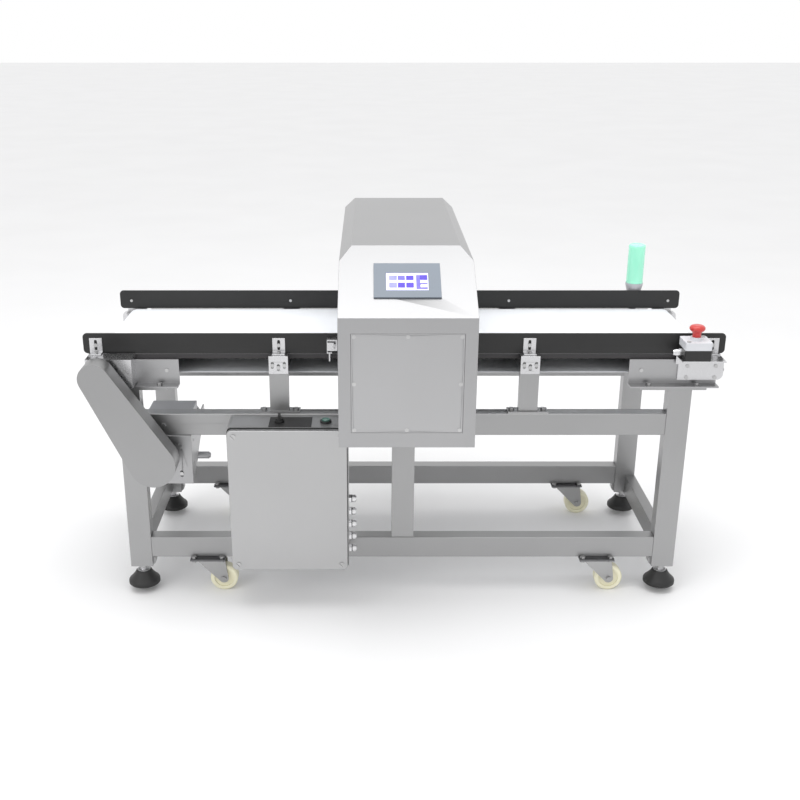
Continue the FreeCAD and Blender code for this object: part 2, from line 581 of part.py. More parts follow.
def belt_loop(sketch, wheels):
    """A closed loop of two arcs and two straight runs round two wheels.

    Each wheel is its place across, its place up and its radius, as expressions.
    """
    (ax, az, ar), (bx, bz, br) = [[worth(text) for text in wheel] for wheel in wheels]
    heading = math.atan2(bz - az, bx - ax)
    spread = math.acos((ar - br) / math.hypot(bx - ax, bz - az))
    left, right = heading + spread, heading - spread
    first = sketch.GeometryCount
    normal = Vector(0, 0, 1)

    def spot(x, z, radius, angle):
        return Vector(x + radius * math.cos(angle), z + radius * math.sin(angle), 0)

    circle_a = Part.Circle(Vector(ax, az, 0), normal, ar)
    circle_b = Part.Circle(Vector(bx, bz, 0), normal, br)
    sketch.addGeometry(Part.ArcOfCircle(circle_a, left, right + 2 * math.pi), False)
    sketch.addGeometry(Part.LineSegment(spot(ax, az, ar, right), spot(bx, bz, br, right)), False)
    sketch.addGeometry(Part.ArcOfCircle(circle_b, right, left), False)
    sketch.addGeometry(Part.LineSegment(spot(bx, bz, br, left), spot(ax, az, ar, left)), False)
    arc_a, low, arc_b, high = range(first, first + 4)
    for one, end, other, begin in ((arc_a, 2, low, 1), (low, 2, arc_b, 1),
                                   (arc_b, 2, high, 1), (high, 2, arc_a, 1)):
        sketch.addConstraint(Sketcher.Constraint("Tangent", one, end, other, begin))
    for arc, wheel in ((arc_a, wheels[0]), (arc_b, wheels[1])):
        pin_point(sketch, arc, 3, wheel[0], wheel[1])
        index = sketch.addConstraint(Sketcher.Constraint("Radius", arc, worth(wheel[2])))
        bind(sketch, f"Constraints[{index}]", wheel[2])


def slot_tools(name, axis, middle, length, width, start, depth):
    """A block and two rods that cut an upright slot through a plate square to Y."""
    x, z = middle
    half = f"({length} - {width}) / 2"
    return [
        box(name + "_middle", (f"{x} - ({width}) / 2", start, f"{z} - {half}"),
            (width, depth, f"{length} - {width}")),
        rod(name + "_low", axis, (x, start, f"{z} - {half}"), f"({width}) / 2", depth),
        rod(name + "_high", axis, (x, start, f"{z} + {half}"), f"({width}) / 2", depth),
    ]


# ---------------------------------------------------------------- frame
def tube(name, run, start, sides):
    """A rectangular tube, open at both ends, along X, Y or Z for run 0, 1 or 2."""
    hollow_start = [f"{low} + tube_wall" for low in start]
    hollow_sides = [f"{side} - 2 * tube_wall" for side in sides]
    hollow_start[run], hollow_sides[run] = start[run], sides[run]
    return cut(name, box(name + "_outside", start, sides),
               [box(name + "_inside", hollow_start, hollow_sides)])


def leg(end, side):
    """A leg with its top plate, the threaded plate in its foot and its lug."""
    name = f"leg_{end}_{side}"
    x, y = f"{SIDES[side]} * {LEG_X}", f"{ENDS[end]} * {LEG_Y}"
    corner = (f"{x} - tube_face / 2", f"{y} - tube_side / 2")
    stem = tube(name + "_tube", 2, corner + ("leg_foot",),
                ("tube_face", "tube_side", "leg_top - leg_foot"))
    plug = box(name + "_plug", (corner[0] + " + tube_wall", corner[1] + " + tube_wall", "leg_foot"),
               ("tube_face - 2 * tube_wall", "tube_side - 2 * tube_wall", "plug_thick"))
    bore = rod(name + "_bore", "z", (x, y, "leg_foot"), "spindle_radius + run_fit", "plug_thick")
    outer = "(frame_length / 2 + cap_overhang)"
    cap_x = f"-{outer}" if side == "left" else f"{outer} - cap_length"
    cap = box(name + "_cap", (cap_x, corner[1], "leg_top"), ("cap_length", "tube_side", "cap_thick"))
    inner_x = f"{SIDES[side]} * (frame_length / 2 - tube_face)"
    lug_x = f"{inner_x} - lug_reach" if side == "right" else inner_x
    lug_box = box(name + "_lug_box", (lug_x, f"{y} - lug_wide / 2", "leg_foot"),
                  ("lug_reach", "lug_wide", "lug_height"))
    round_x = f"{inner_x} - {SIDES[side]} * (lug_reach - lug_height / 2)"
    lug_rod = rod(name + "_lug_rod", "y", (round_x, f"{y} - lug_wide / 2", "leg_foot + lug_height / 2"),
                  "lug_height / 2", "lug_wide")
    lug = common(name + "_lug", lug_box, lug_rod)
    plate = cut(name + "_foot_plate", plug, [bore])
    return node(join(name, [stem, plate, cap, lug]), name)


def frame():
    for end in ENDS:
        for side in SIDES:
            leg(end, side)
        y = f"{ENDS[end]} * {LEG_Y} - tube_side / 2"
        for label, level in (("lower", "lower_beam_level"), ("upper", "upper_beam_level")):
            name = f"{label}_beam_{end}"
            node(tube(name, 0, ("tube_face - frame_length / 2", y, level),
                      ("frame_length - 2 * tube_face", "tube_side", "tube_face")), name)
    for side in SIDES:
        name = f"side_beam_{side}"
        x = "-frame_length / 2" if side == "left" else "frame_length / 2 - side_tube"
        node(tube(name, 1, (x, "tube_side - frame_depth / 2", "leg_foot"),
                  ("side_tube", "frame_depth - 2 * tube_side", "tube_face")), name)
    node(tube("centre_post", 2, ("-tube_face / 2", "-frame_depth / 2", "lower_beam_level + tube_face"),
              ("tube_face", "tube_side", "upper_beam_level - lower_beam_level - tube_face")),
         "centre_post")


# ---------------------------------------------------------------- levelling feet
def levelling_foot(end, side):
    """A rubber bell with the steel spindle that is swaged into it."""
    name = f"levelling_foot_{end}_{side}"
    x, y = f"{SIDES[side]} * {LEG_X}", f"{ENDS[end]} * {LEG_Y}"
    bell = turned(name + "_bell", [
        ("0", "0"), ("foot_radius - 3", "0"), ("foot_radius", "3"), ("foot_radius", "foot_rim"),
        ("foot_crown", "foot_height - 2"), ("foot_crown - 2", "foot_height"), ("0", "foot_height"),
    ])
    spindle = turned(name + "_spindle", [
        ("0", "0"), ("washer_radius", "0"), ("washer_radius", "washer_thick"),
        ("neck_radius", "washer_thick"), ("neck_radius", "washer_thick + neck_height"),
        ("spindle_radius", "washer_thick + neck_height"),
        ("spindle_radius", "washer_thick + neck_height + spindle_length"),
        ("0", "washer_thick + neck_height + spindle_length"),
    ])
    place(bell, x, y, "foot_lift")
    place(spindle, x, y, "foot_lift + foot_height")
    return node(group(name, [bell, spindle]), name)


# ---------------------------------------------------------------- casters
def caster_fork(end, side):
    """A swivel fork with its king pin and ball race, and the axle bolted through it."""
    name = f"caster_fork_{end}_{side}"
    x, y = f"{SIDES[side]} * caster_x", f"{ENDS[end]} * {LEG_Y}"
    race_top = "(lower_beam_level - caster_plate_thick - swivel_gap)"
    bridge_top = f"({race_top} - race_height)"
    half = "(wheel_width / 2 + fork_sheet / 2)"
    axle_x = f"({x} + caster_trail)"
    bridge = box(name + "_bridge", (f"{x} - fork_front", f"{y} - {half} - fork_sheet",
                                    f"{bridge_top} - fork_sheet"),
                 ("fork_front + fork_back", f"2 * ({half} + fork_sheet)", "fork_sheet"))
    race = rod(name + "_race", "z", (x, y, bridge_top), "race_radius", "race_height")
    pin = rod(name + "_pin", "z", (x, y, race_top), "kingpin_radius - run_fit",
              "swivel_gap + caster_plate_thick - swivel_gap")
    parts = [bridge, race, pin]
    for label, low in (("near", f"-{half} - fork_sheet"), ("far", half)):
        cheek = prism(f"{name}_cheek_{label}", "y", [
            (f"{x} - fork_front", f"{bridge_top}"), (f"{x} + fork_back", f"{bridge_top}"),
            (f"{axle_x} + fork_tip", "wheel_radius"), (f"{axle_x} - 0.8 * fork_tip", "wheel_radius - 0.6 * fork_tip"),
        ], f"{y} + {low}", "fork_sheet")
        tip = rod(f"{name}_tip_{label}", "y", (axle_x, f"{y} + {low}", "wheel_radius"),
                  "fork_tip", "fork_sheet")
        parts += [cheek, tip]
    hole = rod(name + "_hole", "y", (axle_x, f"{y} - {half} - fork_sheet", "wheel_radius"),
               "axle_radius", f"2 * ({half} + fork_sheet)")
    fork = cut(name + "_sheet", join(name + "_solid", parts), [hole])
    axle_rod = rod(name + "_axle_rod", "y", (axle_x, f"{y} - {half} - fork_sheet", "wheel_radius"),
                   "axle_radius", f"2 * ({half} + fork_sheet)")
    heads = [
        hexagon(f"{name}_axle_head", "y",
                (axle_x, f"{y} - {half} - fork_sheet - bolt_head_high", "wheel_radius"),
                "bolt_head", "bolt_head_high"),
        hexagon(f"{name}_axle_nut", "y", (axle_x, f"{y} + {half} + fork_sheet", "wheel_radius"),
                "bolt_head", "bolt_head_high"),
    ]
    axle = join(name + "_axle", [axle_rod] + heads)
    return node(group(name, [fork, axle]), name)


def caster_wheel(end, side):
    name = f"caster_wheel_{end}_{side}"
    bore = "axle_radius + run_fit"
    half, deep = "wheel_width / 2", "wheel_width / 2 - wheel_hollow"
    wheel = turned(name + "_body", [
        (bore, f"-({half})"), ("wheel_hub", f"-({half})"), ("wheel_hub", f"-({deep})"),
        ("wheel_rim", f"-({deep})"), ("wheel_rim", f"-({half})"),
        ("wheel_radius - wheel_bevel", f"-({half})"), ("wheel_radius", f"-({half}) + wheel_bevel"),
        ("wheel_radius", f"{half} - wheel_bevel"), ("wheel_radius - wheel_bevel", half),
        ("wheel_rim", half), ("wheel_rim", deep), ("wheel_hub", deep), ("wheel_hub", half),
        (bore, half),
    ])
    place(wheel, f"{SIDES[side]} * caster_x + caster_trail", f"{ENDS[end]} * {LEG_Y}",
          "wheel_radius", turn=TURNS["y"])
    return node(wheel, name)


def caster_plates():
    plates = []
    for end in ENDS:
        for side in SIDES:
            x, y = f"{SIDES[side]} * caster_x", f"{ENDS[end]} * {LEG_Y}"
            low = "lower_beam_level - caster_plate_thick"
            name = f"caster_plate_{end}_{side}"
            plate = box(name, (f"{x} - caster_plate_length / 2", f"{y} - caster_plate_width / 2", low),
                        ("caster_plate_length", "caster_plate_width", "caster_plate_thick"))
            bore = rod(name + "_bore", "z", (x, y, low), "kingpin_radius", "caster_plate_thick")
            plates.append(cut(name + "_bored", plate, [bore]))
    node(group("caster_plates", plates), "caster_plates")


# ---------------------------------------------------------------- conveyor
def belt():
    body, sketch = new_sketch("conveyor_belt", "y", "-belt_width / 2")
    for radius in ("turn_radius", "turn_radius - belt_thick"):
        belt_loop(sketch, [("-roller_x", ROLLER_LEVEL, radius), ("roller_x", ROLLER_LEVEL, radius)])
    pad(body, sketch, "y", "belt_width")
    node(place(body, 0, 0, 0), "conveyor_belt")


def toothed_wheel(name, x, level, teeth):
    """A sprocket cut from a disc: a round seat for a chain roller between its teeth."""
    radius = pitch_circle(teeth)
    start = "-sprocket_y - sprocket_thick / 2"
    disc = rod(name + "_disc", "y", (x, start, level), f"{radius} + sprocket_tip", "sprocket_thick")
    seats = []
    for number in range(int(worth(teeth))):
        angle = f"({number} * 360 / {teeth})"
        seats.append(rod(f"{name}_seat_{number}", "y",
                         (f"{x} + {radius} * cos{angle}", start, f"{level} + {radius} * sin{angle}"),
                         "chain_roller + free_gap", "sprocket_thick"))
        seats.append(rod(f"{name}_tip_{number}", "y",
                         (f"{x} + ({radius} + sprocket_tip) * cos{angle}", start,
                          f"{level} + ({radius} + sprocket_tip) * sin{angle}"),
                         "chain_roller + 2 * free_gap", "sprocket_thick"))
    return cut(name, disc, [join(name + "_seats", seats)])


def rollers():
    drive_end = "(sprocket_y + sprocket_thick / 2 + free_gap)"
    plate_end = "(channel_y + plate_thick - free_gap)"
    for name, x, front in (("drive_roller", "-roller_x", drive_end), ("tail_roller", "roller_x", plate_end)):
        drum = rod(name + "_drum", "y", (x, "-roller_face / 2", ROLLER_LEVEL),
                   "turn_radius - belt_thick - free_gap", "roller_face")
        shaft = rod(name + "_shaft", "y", (x, f"-{front}", ROLLER_LEVEL), "shaft_radius",
                    f"{front} + {plate_end}")
        parts = [drum, shaft]
        if name == "drive_roller":
            parts.append(toothed_wheel("roller_sprocket", x, ROLLER_LEVEL, "roller_teeth"))
        node(join(name, parts), name)


def bed():
    slab = box("conveyor_bed", ("-bed_length / 2", "-bed_width / 2", BED_BASE),
               ("bed_length", "bed_width", "bed_thick"))
    node(slab, "conveyor_bed")


def end_channels():
    """Folded channels that carry each end of the bed and its roller."""
    channels = []
    length = "(channel_outer - channel_inner)"
    for end, way in ENDS.items():
        for side in SIDES:
            name = f"end_channel_{end}_{side}"
            x = "-channel_outer" if side == "left" else "channel_inner"
            corners = [
                (f"{way} * channel_y", CHANNEL_BASE),
                (f"{way} * (channel_y + channel_foot)", CHANNEL_BASE),
                (f"{way} * (channel_y + channel_foot)", f"{CHANNEL_BASE} + channel_sheet"),
                (f"{way} * channel_y", f"{CHANNEL_BASE} + channel_sheet"),
                (f"{way} * channel_y", BED_BASE),
                (f"{way} * (channel_y - channel_lip)", BED_BASE),
                (f"{way} * (channel_y - channel_lip)", f"{BED_BASE} - channel_sheet"),
                (f"{way} * (channel_y - channel_sheet)", f"{BED_BASE} - channel_sheet"),
                (f"{way} * (channel_y - channel_sheet)", CHANNEL_BASE),
            ]
            folded = prism(name + "_fold", "x", corners, x, length)
            web = f"{way} * (channel_y - channel_sheet / 2) - channel_sheet"
            window = rod(name + "_window", "y", (f"{SIDES[side]} * roller_x", web, ROLLER_LEVEL),
                         "shaft_window", "2 * channel_sheet")
            channels.append(cut(name, folded, [window]))
    node(group("end_channels", channels), "end_channels")


def bearing_plates():
    """Three flat bearing plates and the folded bracket at the driven end."""
    plates = []
    for name, end, side in (("tail_front", "front", "right"), ("tail_rear", "rear", "right"),
                            ("drive_rear", "rear", "left")):
        low_x = "plate_inner" if side == "right" else "-plate_outer"
        y = "-channel_y - plate_thick" if end == "front" else "channel_y"
        length = "(plate_outer - plate_inner)"
        plate = prism(f"bearing_plate_{name}_blank", "y", [
            (low_x, "plate_low"), (f"{low_x} + {length}", "plate_low"),
            (f"{low_x} + {length}", "plate_high"), (low_x, "plate_high"),
        ], y, "plate_thick")
        outward = SIDES[side]
        middle = outward * worth("(plate_inner + plate_outer) / 2")
        round_corners(plate, "y", "plate_round",
                      keep=lambda spot: outward * (spot.x - middle) > 0)
        bore = rod(f"bearing_plate_{name}_bore", "y", (f"{outward} * roller_x", y, ROLLER_LEVEL),
                   "shaft_radius + run_fit", "plate_thick")
        plates.append(cut(f"bearing_plate_{name}", plate, [bore]))
    plates.append(drive_bracket())
    node(group("bearing_plates", plates), "bearing_plates")


def drive_bracket():
    """Folded sheet before the driven end: a face, a top and an inner side."""
    face_y = "(-channel_y - drive_box_reach)"
    face = prism("drive_bracket_face", "y", [
        ("-channel_outer", f"{ROLLER_LEVEL} - 22"), ("-drive_box_inner - 18", "drive_box_low"),
        ("-drive_box_inner", "drive_box_low"), ("-drive_box_inner", "shelf_level"),
        ("-channel_outer", "shelf_level"),
    ], face_y, "bracket_sheet")
    top = box("drive_bracket_top", ("-channel_outer", face_y, "shelf_level - bracket_sheet"),
              ("channel_outer - drive_box_inner", "drive_box_reach", "bracket_sheet"))
    side = box("drive_bracket_side", ("-drive_box_inner - bracket_sheet", face_y, "drive_box_low"),
               ("bracket_sheet", "drive_box_reach", "shelf_level - drive_box_low"))
    bore = rod("drive_bracket_bore", "y", ("-roller_x", face_y, ROLLER_LEVEL),
               "shaft_radius + run_fit", "bracket_sheet")
    return cut("drive_bracket", join("drive_bracket_sheet", [face, top, side]), [bore])


def bed_supports():
    """Two trestles on the upper beams, each of two posts, base plates and a bar."""
    trestles = []
    for side, way in SIDES.items():
        x = f"{way} * support_x"
        parts = [box(f"support_bar_{side}",
                     (f"{x} - post_wide / 2", "-post_y", f"{BED_BASE} - crossbar_high"),
                     ("post_wide", "2 * post_y", "crossbar_high"))]
        for end, turn in ENDS.items():
            post_y = "-post_y" if end == "front" else "post_y - post_deep"
            parts.append(box(f"support_post_{end}_{side}",
                             (f"{x} - post_wide / 2", post_y, f"{UPPER_BEAM_TOP} + base_thick"),
                             ("post_wide", "post_deep", f"{BED_BASE} - {UPPER_BEAM_TOP} - base_thick")))
            parts.append(box(f"support_base_{end}_{side}",
                             (f"{x} - base_length / 2", f"{turn} * {LEG_Y} - base_wide / 2", UPPER_BEAM_TOP),
                             ("base_length", "base_wide", "base_thick")))
        trestles.append(join(f"bed_support_{side}", parts))
    node(group("bed_supports", trestles), "bed_supports")


def guide_rails():
    rails = []
    for end in ENDS:
        start = "-bed_width / 2" if end == "front" else "bed_width / 2 - rail_thick"
        rail = prism(f"guide_rail_{end}", "y", [
            ("-rail_length / 2", RAIL_BASE), ("rail_length / 2", RAIL_BASE),
            ("rail_length / 2", f"{RAIL_BASE} + rail_height"),
            ("-rail_length / 2", f"{RAIL_BASE} + rail_height"),
        ], start, "rail_thick")
        rails.append(round_corners(rail, "y", "rail_round"))
    node(group("guide_rails", rails), "guide_rails")


BRACKETS = [(label, way, place_x) for label, way in SIDES.items()
            for place_x in ("support_x", "bracket_end_x")]


def rail_brackets():
    """Slotted angle brackets that hold the guide rails, four on each side."""
    brackets = []
    for end, way in ENDS.items():
        for label, sign, reach in BRACKETS:
            name = f"rail_bracket_{end}_{label}_{reach}"
            x = f"{sign} * {reach}"
            strip_y = "-bed_width / 2 - bracket_sheet" if end == "front" else "bed_width / 2"
            foot_y = "-bed_width / 2 - bracket_foot" if end == "front" else "bed_width / 2"
            strip = box(name + "_strip", (f"{x} - bracket_wide / 2", strip_y, "shelf_level"),
                        ("bracket_wide", "bracket_sheet", "bracket_high"))
            foot = box(name + "_foot", (f"{x} - bracket_wide / 2", foot_y, "shelf_level"),
                       ("bracket_wide", "bracket_foot", "bracket_sheet"))
            middle = "shelf_level + (bracket_high + bracket_sheet) / 2"
            tools = slot_tools(name + "_slot", "y", (x, f"({middle})"), "bracket_slot", "slot_wide",
                               strip_y, "bracket_sheet")
            brackets.append(cut(name, join(name + "_angle", [strip, foot]), tools))
    node(group("rail_brackets", brackets), "rail_brackets")


def shelf(name, x, wide, end, reach, drop):
    """An angle whose upper face carries a rail bracket's foot."""
    inner = "(bed_width / 2 + free_gap)"
    outer = f"({inner} + {reach})"
    top_y = f"-{outer}" if end == "front" else inner
    upright_y = f"-{outer}" if end == "front" else f"{outer} - bracket_sheet"
    top = box(name + "_top", (x, top_y, "shelf_level - bracket_sheet"), (wide, reach, "bracket_sheet"))
    upright = box(name + "_upright", (x, upright_y, f"shelf_level - {drop}"),
                  (wide, "bracket_sheet", drop))
    return top, upright, upright_y


def bracket_shelves():
    shelves = []
    for end in ENDS:
        for side, way in SIDES.items():
            name = f"post_shelf_{end}_{side}"
            x = f"{way} * support_x"
            reach = "(post_y + bracket_sheet - bed_width / 2 - free_gap)"
            top, upright, y = shelf(name, f"{x} - post_wide / 2", "post_wide", end, reach, "shelf_drop")
            tools = []
            for step, lower in ((-1, 0), (0, 6), (1, 0)):
                spot = (f"({x} + {step} * post_wide / 3.2)", f"(shelf_level - shelf_drop / 2 - {lower})")
                tools += slot_tools(f"{name}_slot_{step + 1}", "y", spot, "shelf_slot", "slot_wide",
                                    y, "bracket_sheet")
            shelves.append(cut(name, join(name + "_angle", [top, upright]), tools))
    wide = "(channel_outer - rear_shelf_inner)"
    for name, x in (("end_shelf_rear_left", "-channel_outer"), ("end_shelf_rear_right", "rear_shelf_inner")):
        shelves.append(plate_shelf(name, x, wide, "rear", "bracket_foot"))
    wide = "(channel_outer - end_shelf_inner)"
    shelves.append(plate_shelf("end_shelf_front_right", "end_shelf_inner", wide, "front",
                               "end_shelf_reach"))
    node(group("bracket_shelves", shelves), "bracket_shelves")


def plate_shelf(name, x, wide, end, reach):
    """An angle bolted to a bearing plate: its upright lies on the plate's outer face."""
    inner, plate_face = "(bed_width / 2 + free_gap)", "(channel_y + plate_thick)"
    outer = f"({plate_face} + {reach})"
    top_y = f"-{outer}" if end == "front" else inner
    upright_y = f"-{plate_face} - bracket_sheet" if end == "front" else plate_face
    top = box(name + "_top", (x, top_y, "shelf_level - bracket_sheet"),
              (wide, f"{outer} - {inner}", "bracket_sheet"))
    upright = box(name + "_upright", (x, upright_y, "shelf_level - end_shelf_drop"),
                  (wide, "bracket_sheet", "end_shelf_drop"))
    return join(name, [top, upright])


# ---------------------------------------------------------------- chain drive
def guard_loop(sketch, inset):
    belt_loop(sketch, [("-roller_x", ROLLER_LEVEL, f"guard_top_radius - {inset}"),
                       ("-motor_x", "motor_level", f"guard_low_radius - {inset}")])


def chain_guard():
    """A dished cover and a back plate, spaced off the drive bearing bracket."""
    front = "-guard_front"
    cover_body, sketch = new_sketch("guard_cover_blank", "y", front)
    guard_loop(sketch, "0")
    pad(cover_body, sketch, "y", "guard_depth - guard_sheet")
    place(cover_body, 0, 0, 0)
    hollow, sketch = new_sketch("guard_cover_hollow", "y", f"{front} + guard_sheet")
    guard_loop(sketch, "guard_sheet")
    pad(hollow, sketch, "y", "guard_depth - guard_sheet")
    place(hollow, 0, 0, 0)
    cover = cut("guard_cover", cover_body, [hollow])
    back_body, sketch = new_sketch("guard_back_blank", "y", f"{front} + guard_depth - guard_sheet")
    guard_loop(sketch, "0")
    pad(back_body, sketch, "y", "guard_sheet")
    place(back_body, 0, 0, 0)
    back_y = f"{front} + guard_depth - guard_sheet"
    windows = [
        rod("guard_window_roller", "y", ("-roller_x", back_y, ROLLER_LEVEL), "shaft_window", "guard_sheet"),
        rod("guard_window_motor", "y", ("-motor_x", back_y, "motor_level"), "shaft_window", "guard_sheet"),
    ]
    back = cut("guard_back", back_body, windows)
    gap = "(guard_front - guard_depth - channel_y - drive_box_reach)"
    spacers = []
    for number, level in enumerate((f"{ROLLER_LEVEL} - 24", f"{ROLLER_LEVEL} + 24")):
        spacers.append(rod(f"guard_spacer_{number}", "y", ("-roller_x + 12", f"{front} + guard_depth", level),
                           "bolt_radius + 1", gap))
    mount_gap = "(guard_front - guard_depth - frame_depth / 2 - mount_sheet)"
    spacers.append(rod("guard_spacer_mount", "y",
                       ("-motor_x + 40", f"{front} + guard_depth", "motor_level - 20"),
                       "bolt_radius + 1", mount_gap))
    node(group("chain_guard", [cover, join("guard_back_plate", [back] + spacers)]), "chain_guard")


def pitch_circle(teeth):
    return f"(chain_pitch / (2 * sin(180 / {teeth})))"


def chain():
    """Two loops of side plates either side of the sprockets, and the rollers between."""
    parts = []
    ends = (("-roller_x", ROLLER_LEVEL, pitch_circle("roller_teeth")),
            ("-motor_x", "motor_level", pitch_circle("motor_teeth")))
    for label, start in (("near", "-sprocket_y - sprocket_thick / 2 - free_gap - chain_plate"),
                         ("far", "-sprocket_y + sprocket_thick / 2 + free_gap")):
        body, sketch = new_sketch(f"chain_side_{label}", "y", start)
        for sign in ("+", "-"):
            belt_loop(sketch, [(x, z, f"{radius} {sign} chain_height / 2") for x, z, radius in ends])
        pad(body, sketch, "y", "chain_plate")
        parts.append(place(body, 0, 0, 0))
    (ax, az, ar), (bx, bz, br) = [[worth(text) for text in end] for end in ends]
    heading = math.atan2(bz - az, bx - ax)
    spread = math.acos((ar - br) / math.hypot(bx - ax, bz - az))
    pitch = worth("chain_pitch")
    for sign, label in ((1, "upper"), (-1, "lower")):
        angle = heading + sign * spread
        outward = Vector(math.cos(angle), 0, math.sin(angle))
        start = Vector(ax, 0, az) + outward * ar
        end = Vector(bx, 0, bz) + outward * br
        run = end - start
        for number in range(2, int(run.Length / pitch) - 2):
            spot = start + run * (number * pitch / run.Length)
            parts.append(rod(f"chain_roller_{label}_{number}", "y",
                             (spot.x, "-sprocket_y - sprocket_thick / 2 - free_gap", spot.z),
                             "chain_roller", "sprocket_thick + 2 * free_gap"))
    node(join("drive_chain", parts), "drive_chain")


def motor():
    """Gear motor behind the bracket: gearbox, motor and terminal box."""
    plate_back = "(-frame_depth / 2)"
    shaft_front = "(-sprocket_y - sprocket_thick / 2 - free_gap)"
    sprocket = toothed_wheel("motor_sprocket_disc", "-motor_x", "motor_level", "motor_teeth")
    shaft = rod("motor_shaft", "y", ("-motor_x", shaft_front, "motor_level"), "shaft_radius",
                f"{plate_back} - {shaft_front} + gearbox_deep / 2")
    node(join("motor_sprocket", [sprocket, shaft]), "motor_sprocket")
    box_top = "(upper_beam_level - 2 * free_gap)"
    left = "(-mount_right - mount_sheet - free_gap - gearbox_wide)"
    gearbox = box("gearbox_block", (left, plate_back, f"{box_top} - gearbox_high"),
                  ("gearbox_wide", "gearbox_deep", "gearbox_high"))
    middle = f"({left} + gearbox_wide / 2)"
    rear = f"({plate_back} + gearbox_deep)"
    level = f"({box_top} - gearbox_high / 2)"
    body = rod("motor_body", "y", (middle, rear, level), "motor_radius", "motor_length")
    fins = []
    for number in range(1, MOTOR_FINS + 1):
        fins.append(rod(f"motor_fin_{number}", "y",
                        (middle, f"{rear} + {number} * motor_length / {MOTOR_FINS + 1}", level),
                        "motor_radius + fin_reach", "fin_thick"))
    behind_beam = f"{plate_back} + tube_side + free_gap"
    terminal = box("terminal_box", (f"{left} - terminal_wide + gearbox_wide", behind_beam, f"{box_top} - 1"),
                   ("terminal_wide", "terminal_deep", f"terminal_level - {box_top} + 1"))
    pocket = rod("gearbox_bore", "y", ("-motor_x", plate_back, "motor_level"), "shaft_radius + run_fit",
                 "gearbox_deep / 2 + free_gap")
    inlet = rod("motor_inlet", "x", (middle, "-motor_inlet_y", "motor_inlet_level"), "gland_radius",
                f"-motor_inlet_end - {middle}")
    nose = rod("motor_inlet_nose", "x", (middle, "-motor_inlet_y", "motor_inlet_level"), "gland_radius - 3",
               f"-motor_inlet_end + 4 - {middle}")
    whole = join("gear_motor_body", [gearbox, body, terminal, inlet, nose] + fins)
    node(cut("gear_motor", whole, [pocket]), "gear_motor")


def motor_bracket():
    """Folded bracket under the upper beam: front plate, top flange and side wall."""
    front_y = "(-frame_depth / 2 - mount_sheet)"
    high = "upper_beam_level"
    plate = box("mount_plate", ("-mount_left - 90", front_y, "mount_low"),
                ("mount_left + 90 - mount_right", "mount_sheet", f"{high} + 40 - mount_low"))
    wall = prism("mount_wall", "x", [
        (front_y, "mount_low + 4"), ("-frame_depth / 2", "mount_low + 4"),
        (f"{front_y} + mount_depth", f"{high} - 26"), (f"{front_y} + mount_depth", high),
        (front_y, high),
    ], "-mount_right - mount_sheet", "mount_sheet")
    bore = rod("mount_bore", "y", ("-motor_x", front_y, "motor_level"), "shaft_window", "mount_sheet")
    tools = [bore]
    for number, level in enumerate(("motor_level + 16", "motor_level - 62")):
        tools += slot_tools(f"mount_slot_{number}", "y", ("(-mount_right - 30)", f"({level})"),
                            "shelf_slot", "slot_wide", front_y, "mount_sheet")
    for number, level in enumerate(("motor_level + 20", "motor_level - 40")):
        tools.append(rod(f"mount_hole_{number}", "x",
                         ("-mount_right - mount_sheet", "-frame_depth / 2 + 36 - 12 * " + str(number), level),
                         "bolt_radius", "mount_sheet"))
    trimmed = box("mount_trim", ("-mount_left - 91", front_y, f"{high}"),
                  ("mount_left - mount_right + 92", "mount_sheet", "41"))
    node(cut("motor_bracket", join("mount_sheet_metal", [plate, wall]), tools + [trimmed]), "motor_bracket")


# ---------------------------------------------------------------- detector head
def face_outline(inset, shift):
    """The head seen from its side, drawn in by a wall."""
    return [
        (f"{inset} - housing_front", f"{HOUSING_BASE} + {inset}"),
        (f"housing_rear - {inset}", f"{HOUSING_BASE} + {inset}"),
        (f"housing_rear - {inset}", f"{HOUSING_TOP} - {inset}"),
        (f"slope_run - housing_front + {shift}", f"{HOUSING_TOP} - {inset}"),
        (f"{inset} - housing_front", f"{SLOPE_BASE} - {shift}"),
    ]


def end_outline(inset, shift):
    """The head seen from its front, with both upper edges cut off."""
    side = f"(housing_width / 2 - {inset})"
    crest = f"(housing_width / 2 - edge_cut_x - {shift})"
    shoulder = f"{HOUSING_TOP} - edge_cut_z - {shift}"
    return [
        (f"-{side}", f"{HOUSING_BASE} + {inset}"), (side, f"{HOUSING_BASE} + {inset}"),
        (side, shoulder), (crest, f"{HOUSING_TOP} - {inset}"),
        (f"-{crest}", f"{HOUSING_TOP} - {inset}"), (f"-{side}", shoulder),
    ]


def head_solid(name, inset, shift):
    along = prism(name + "_side", "x", face_outline(inset, shift), "-housing_width / 2", "housing_width")
    across = prism(name + "_end", "y", end_outline(inset, shift), "-housing_front",
                   "housing_front + housing_rear")
    return common(name, along, across)


def ring_sides(spread):
    """Start and sides of a block that stands off the aperture by a spread."""
    return (("-housing_width / 2", f"-aperture_width / 2 - ({spread})", f"aperture_low - ({spread})"),
            ("housing_width", f"aperture_width + 2 * ({spread})",
             f"aperture_high - aperture_low + 2 * ({spread})"))


def tilted(item, across, up, out):
    """Lay an object on the slope, at a distance up it and out from it."""
    item.Placement = Placement(Vector(), Rotation(Vector(1, 0, 0), 28))
    bind(item, "Placement.Rotation.Angle", SLOPE_ANGLE)
    bind(item, "Placement.Base.x", across)
    bind(item, "Placement.Base.y",
         f"({up}) * cos({SLOPE_ANGLE}) - ({out}) * sin({SLOPE_ANGLE}) - housing_front + {LINE}")
    bind(item, "Placement.Base.z", f"({up}) * sin({SLOPE_ANGLE}) + ({out}) * cos({SLOPE_ANGLE}) + {SLOPE_BASE}")
    return item


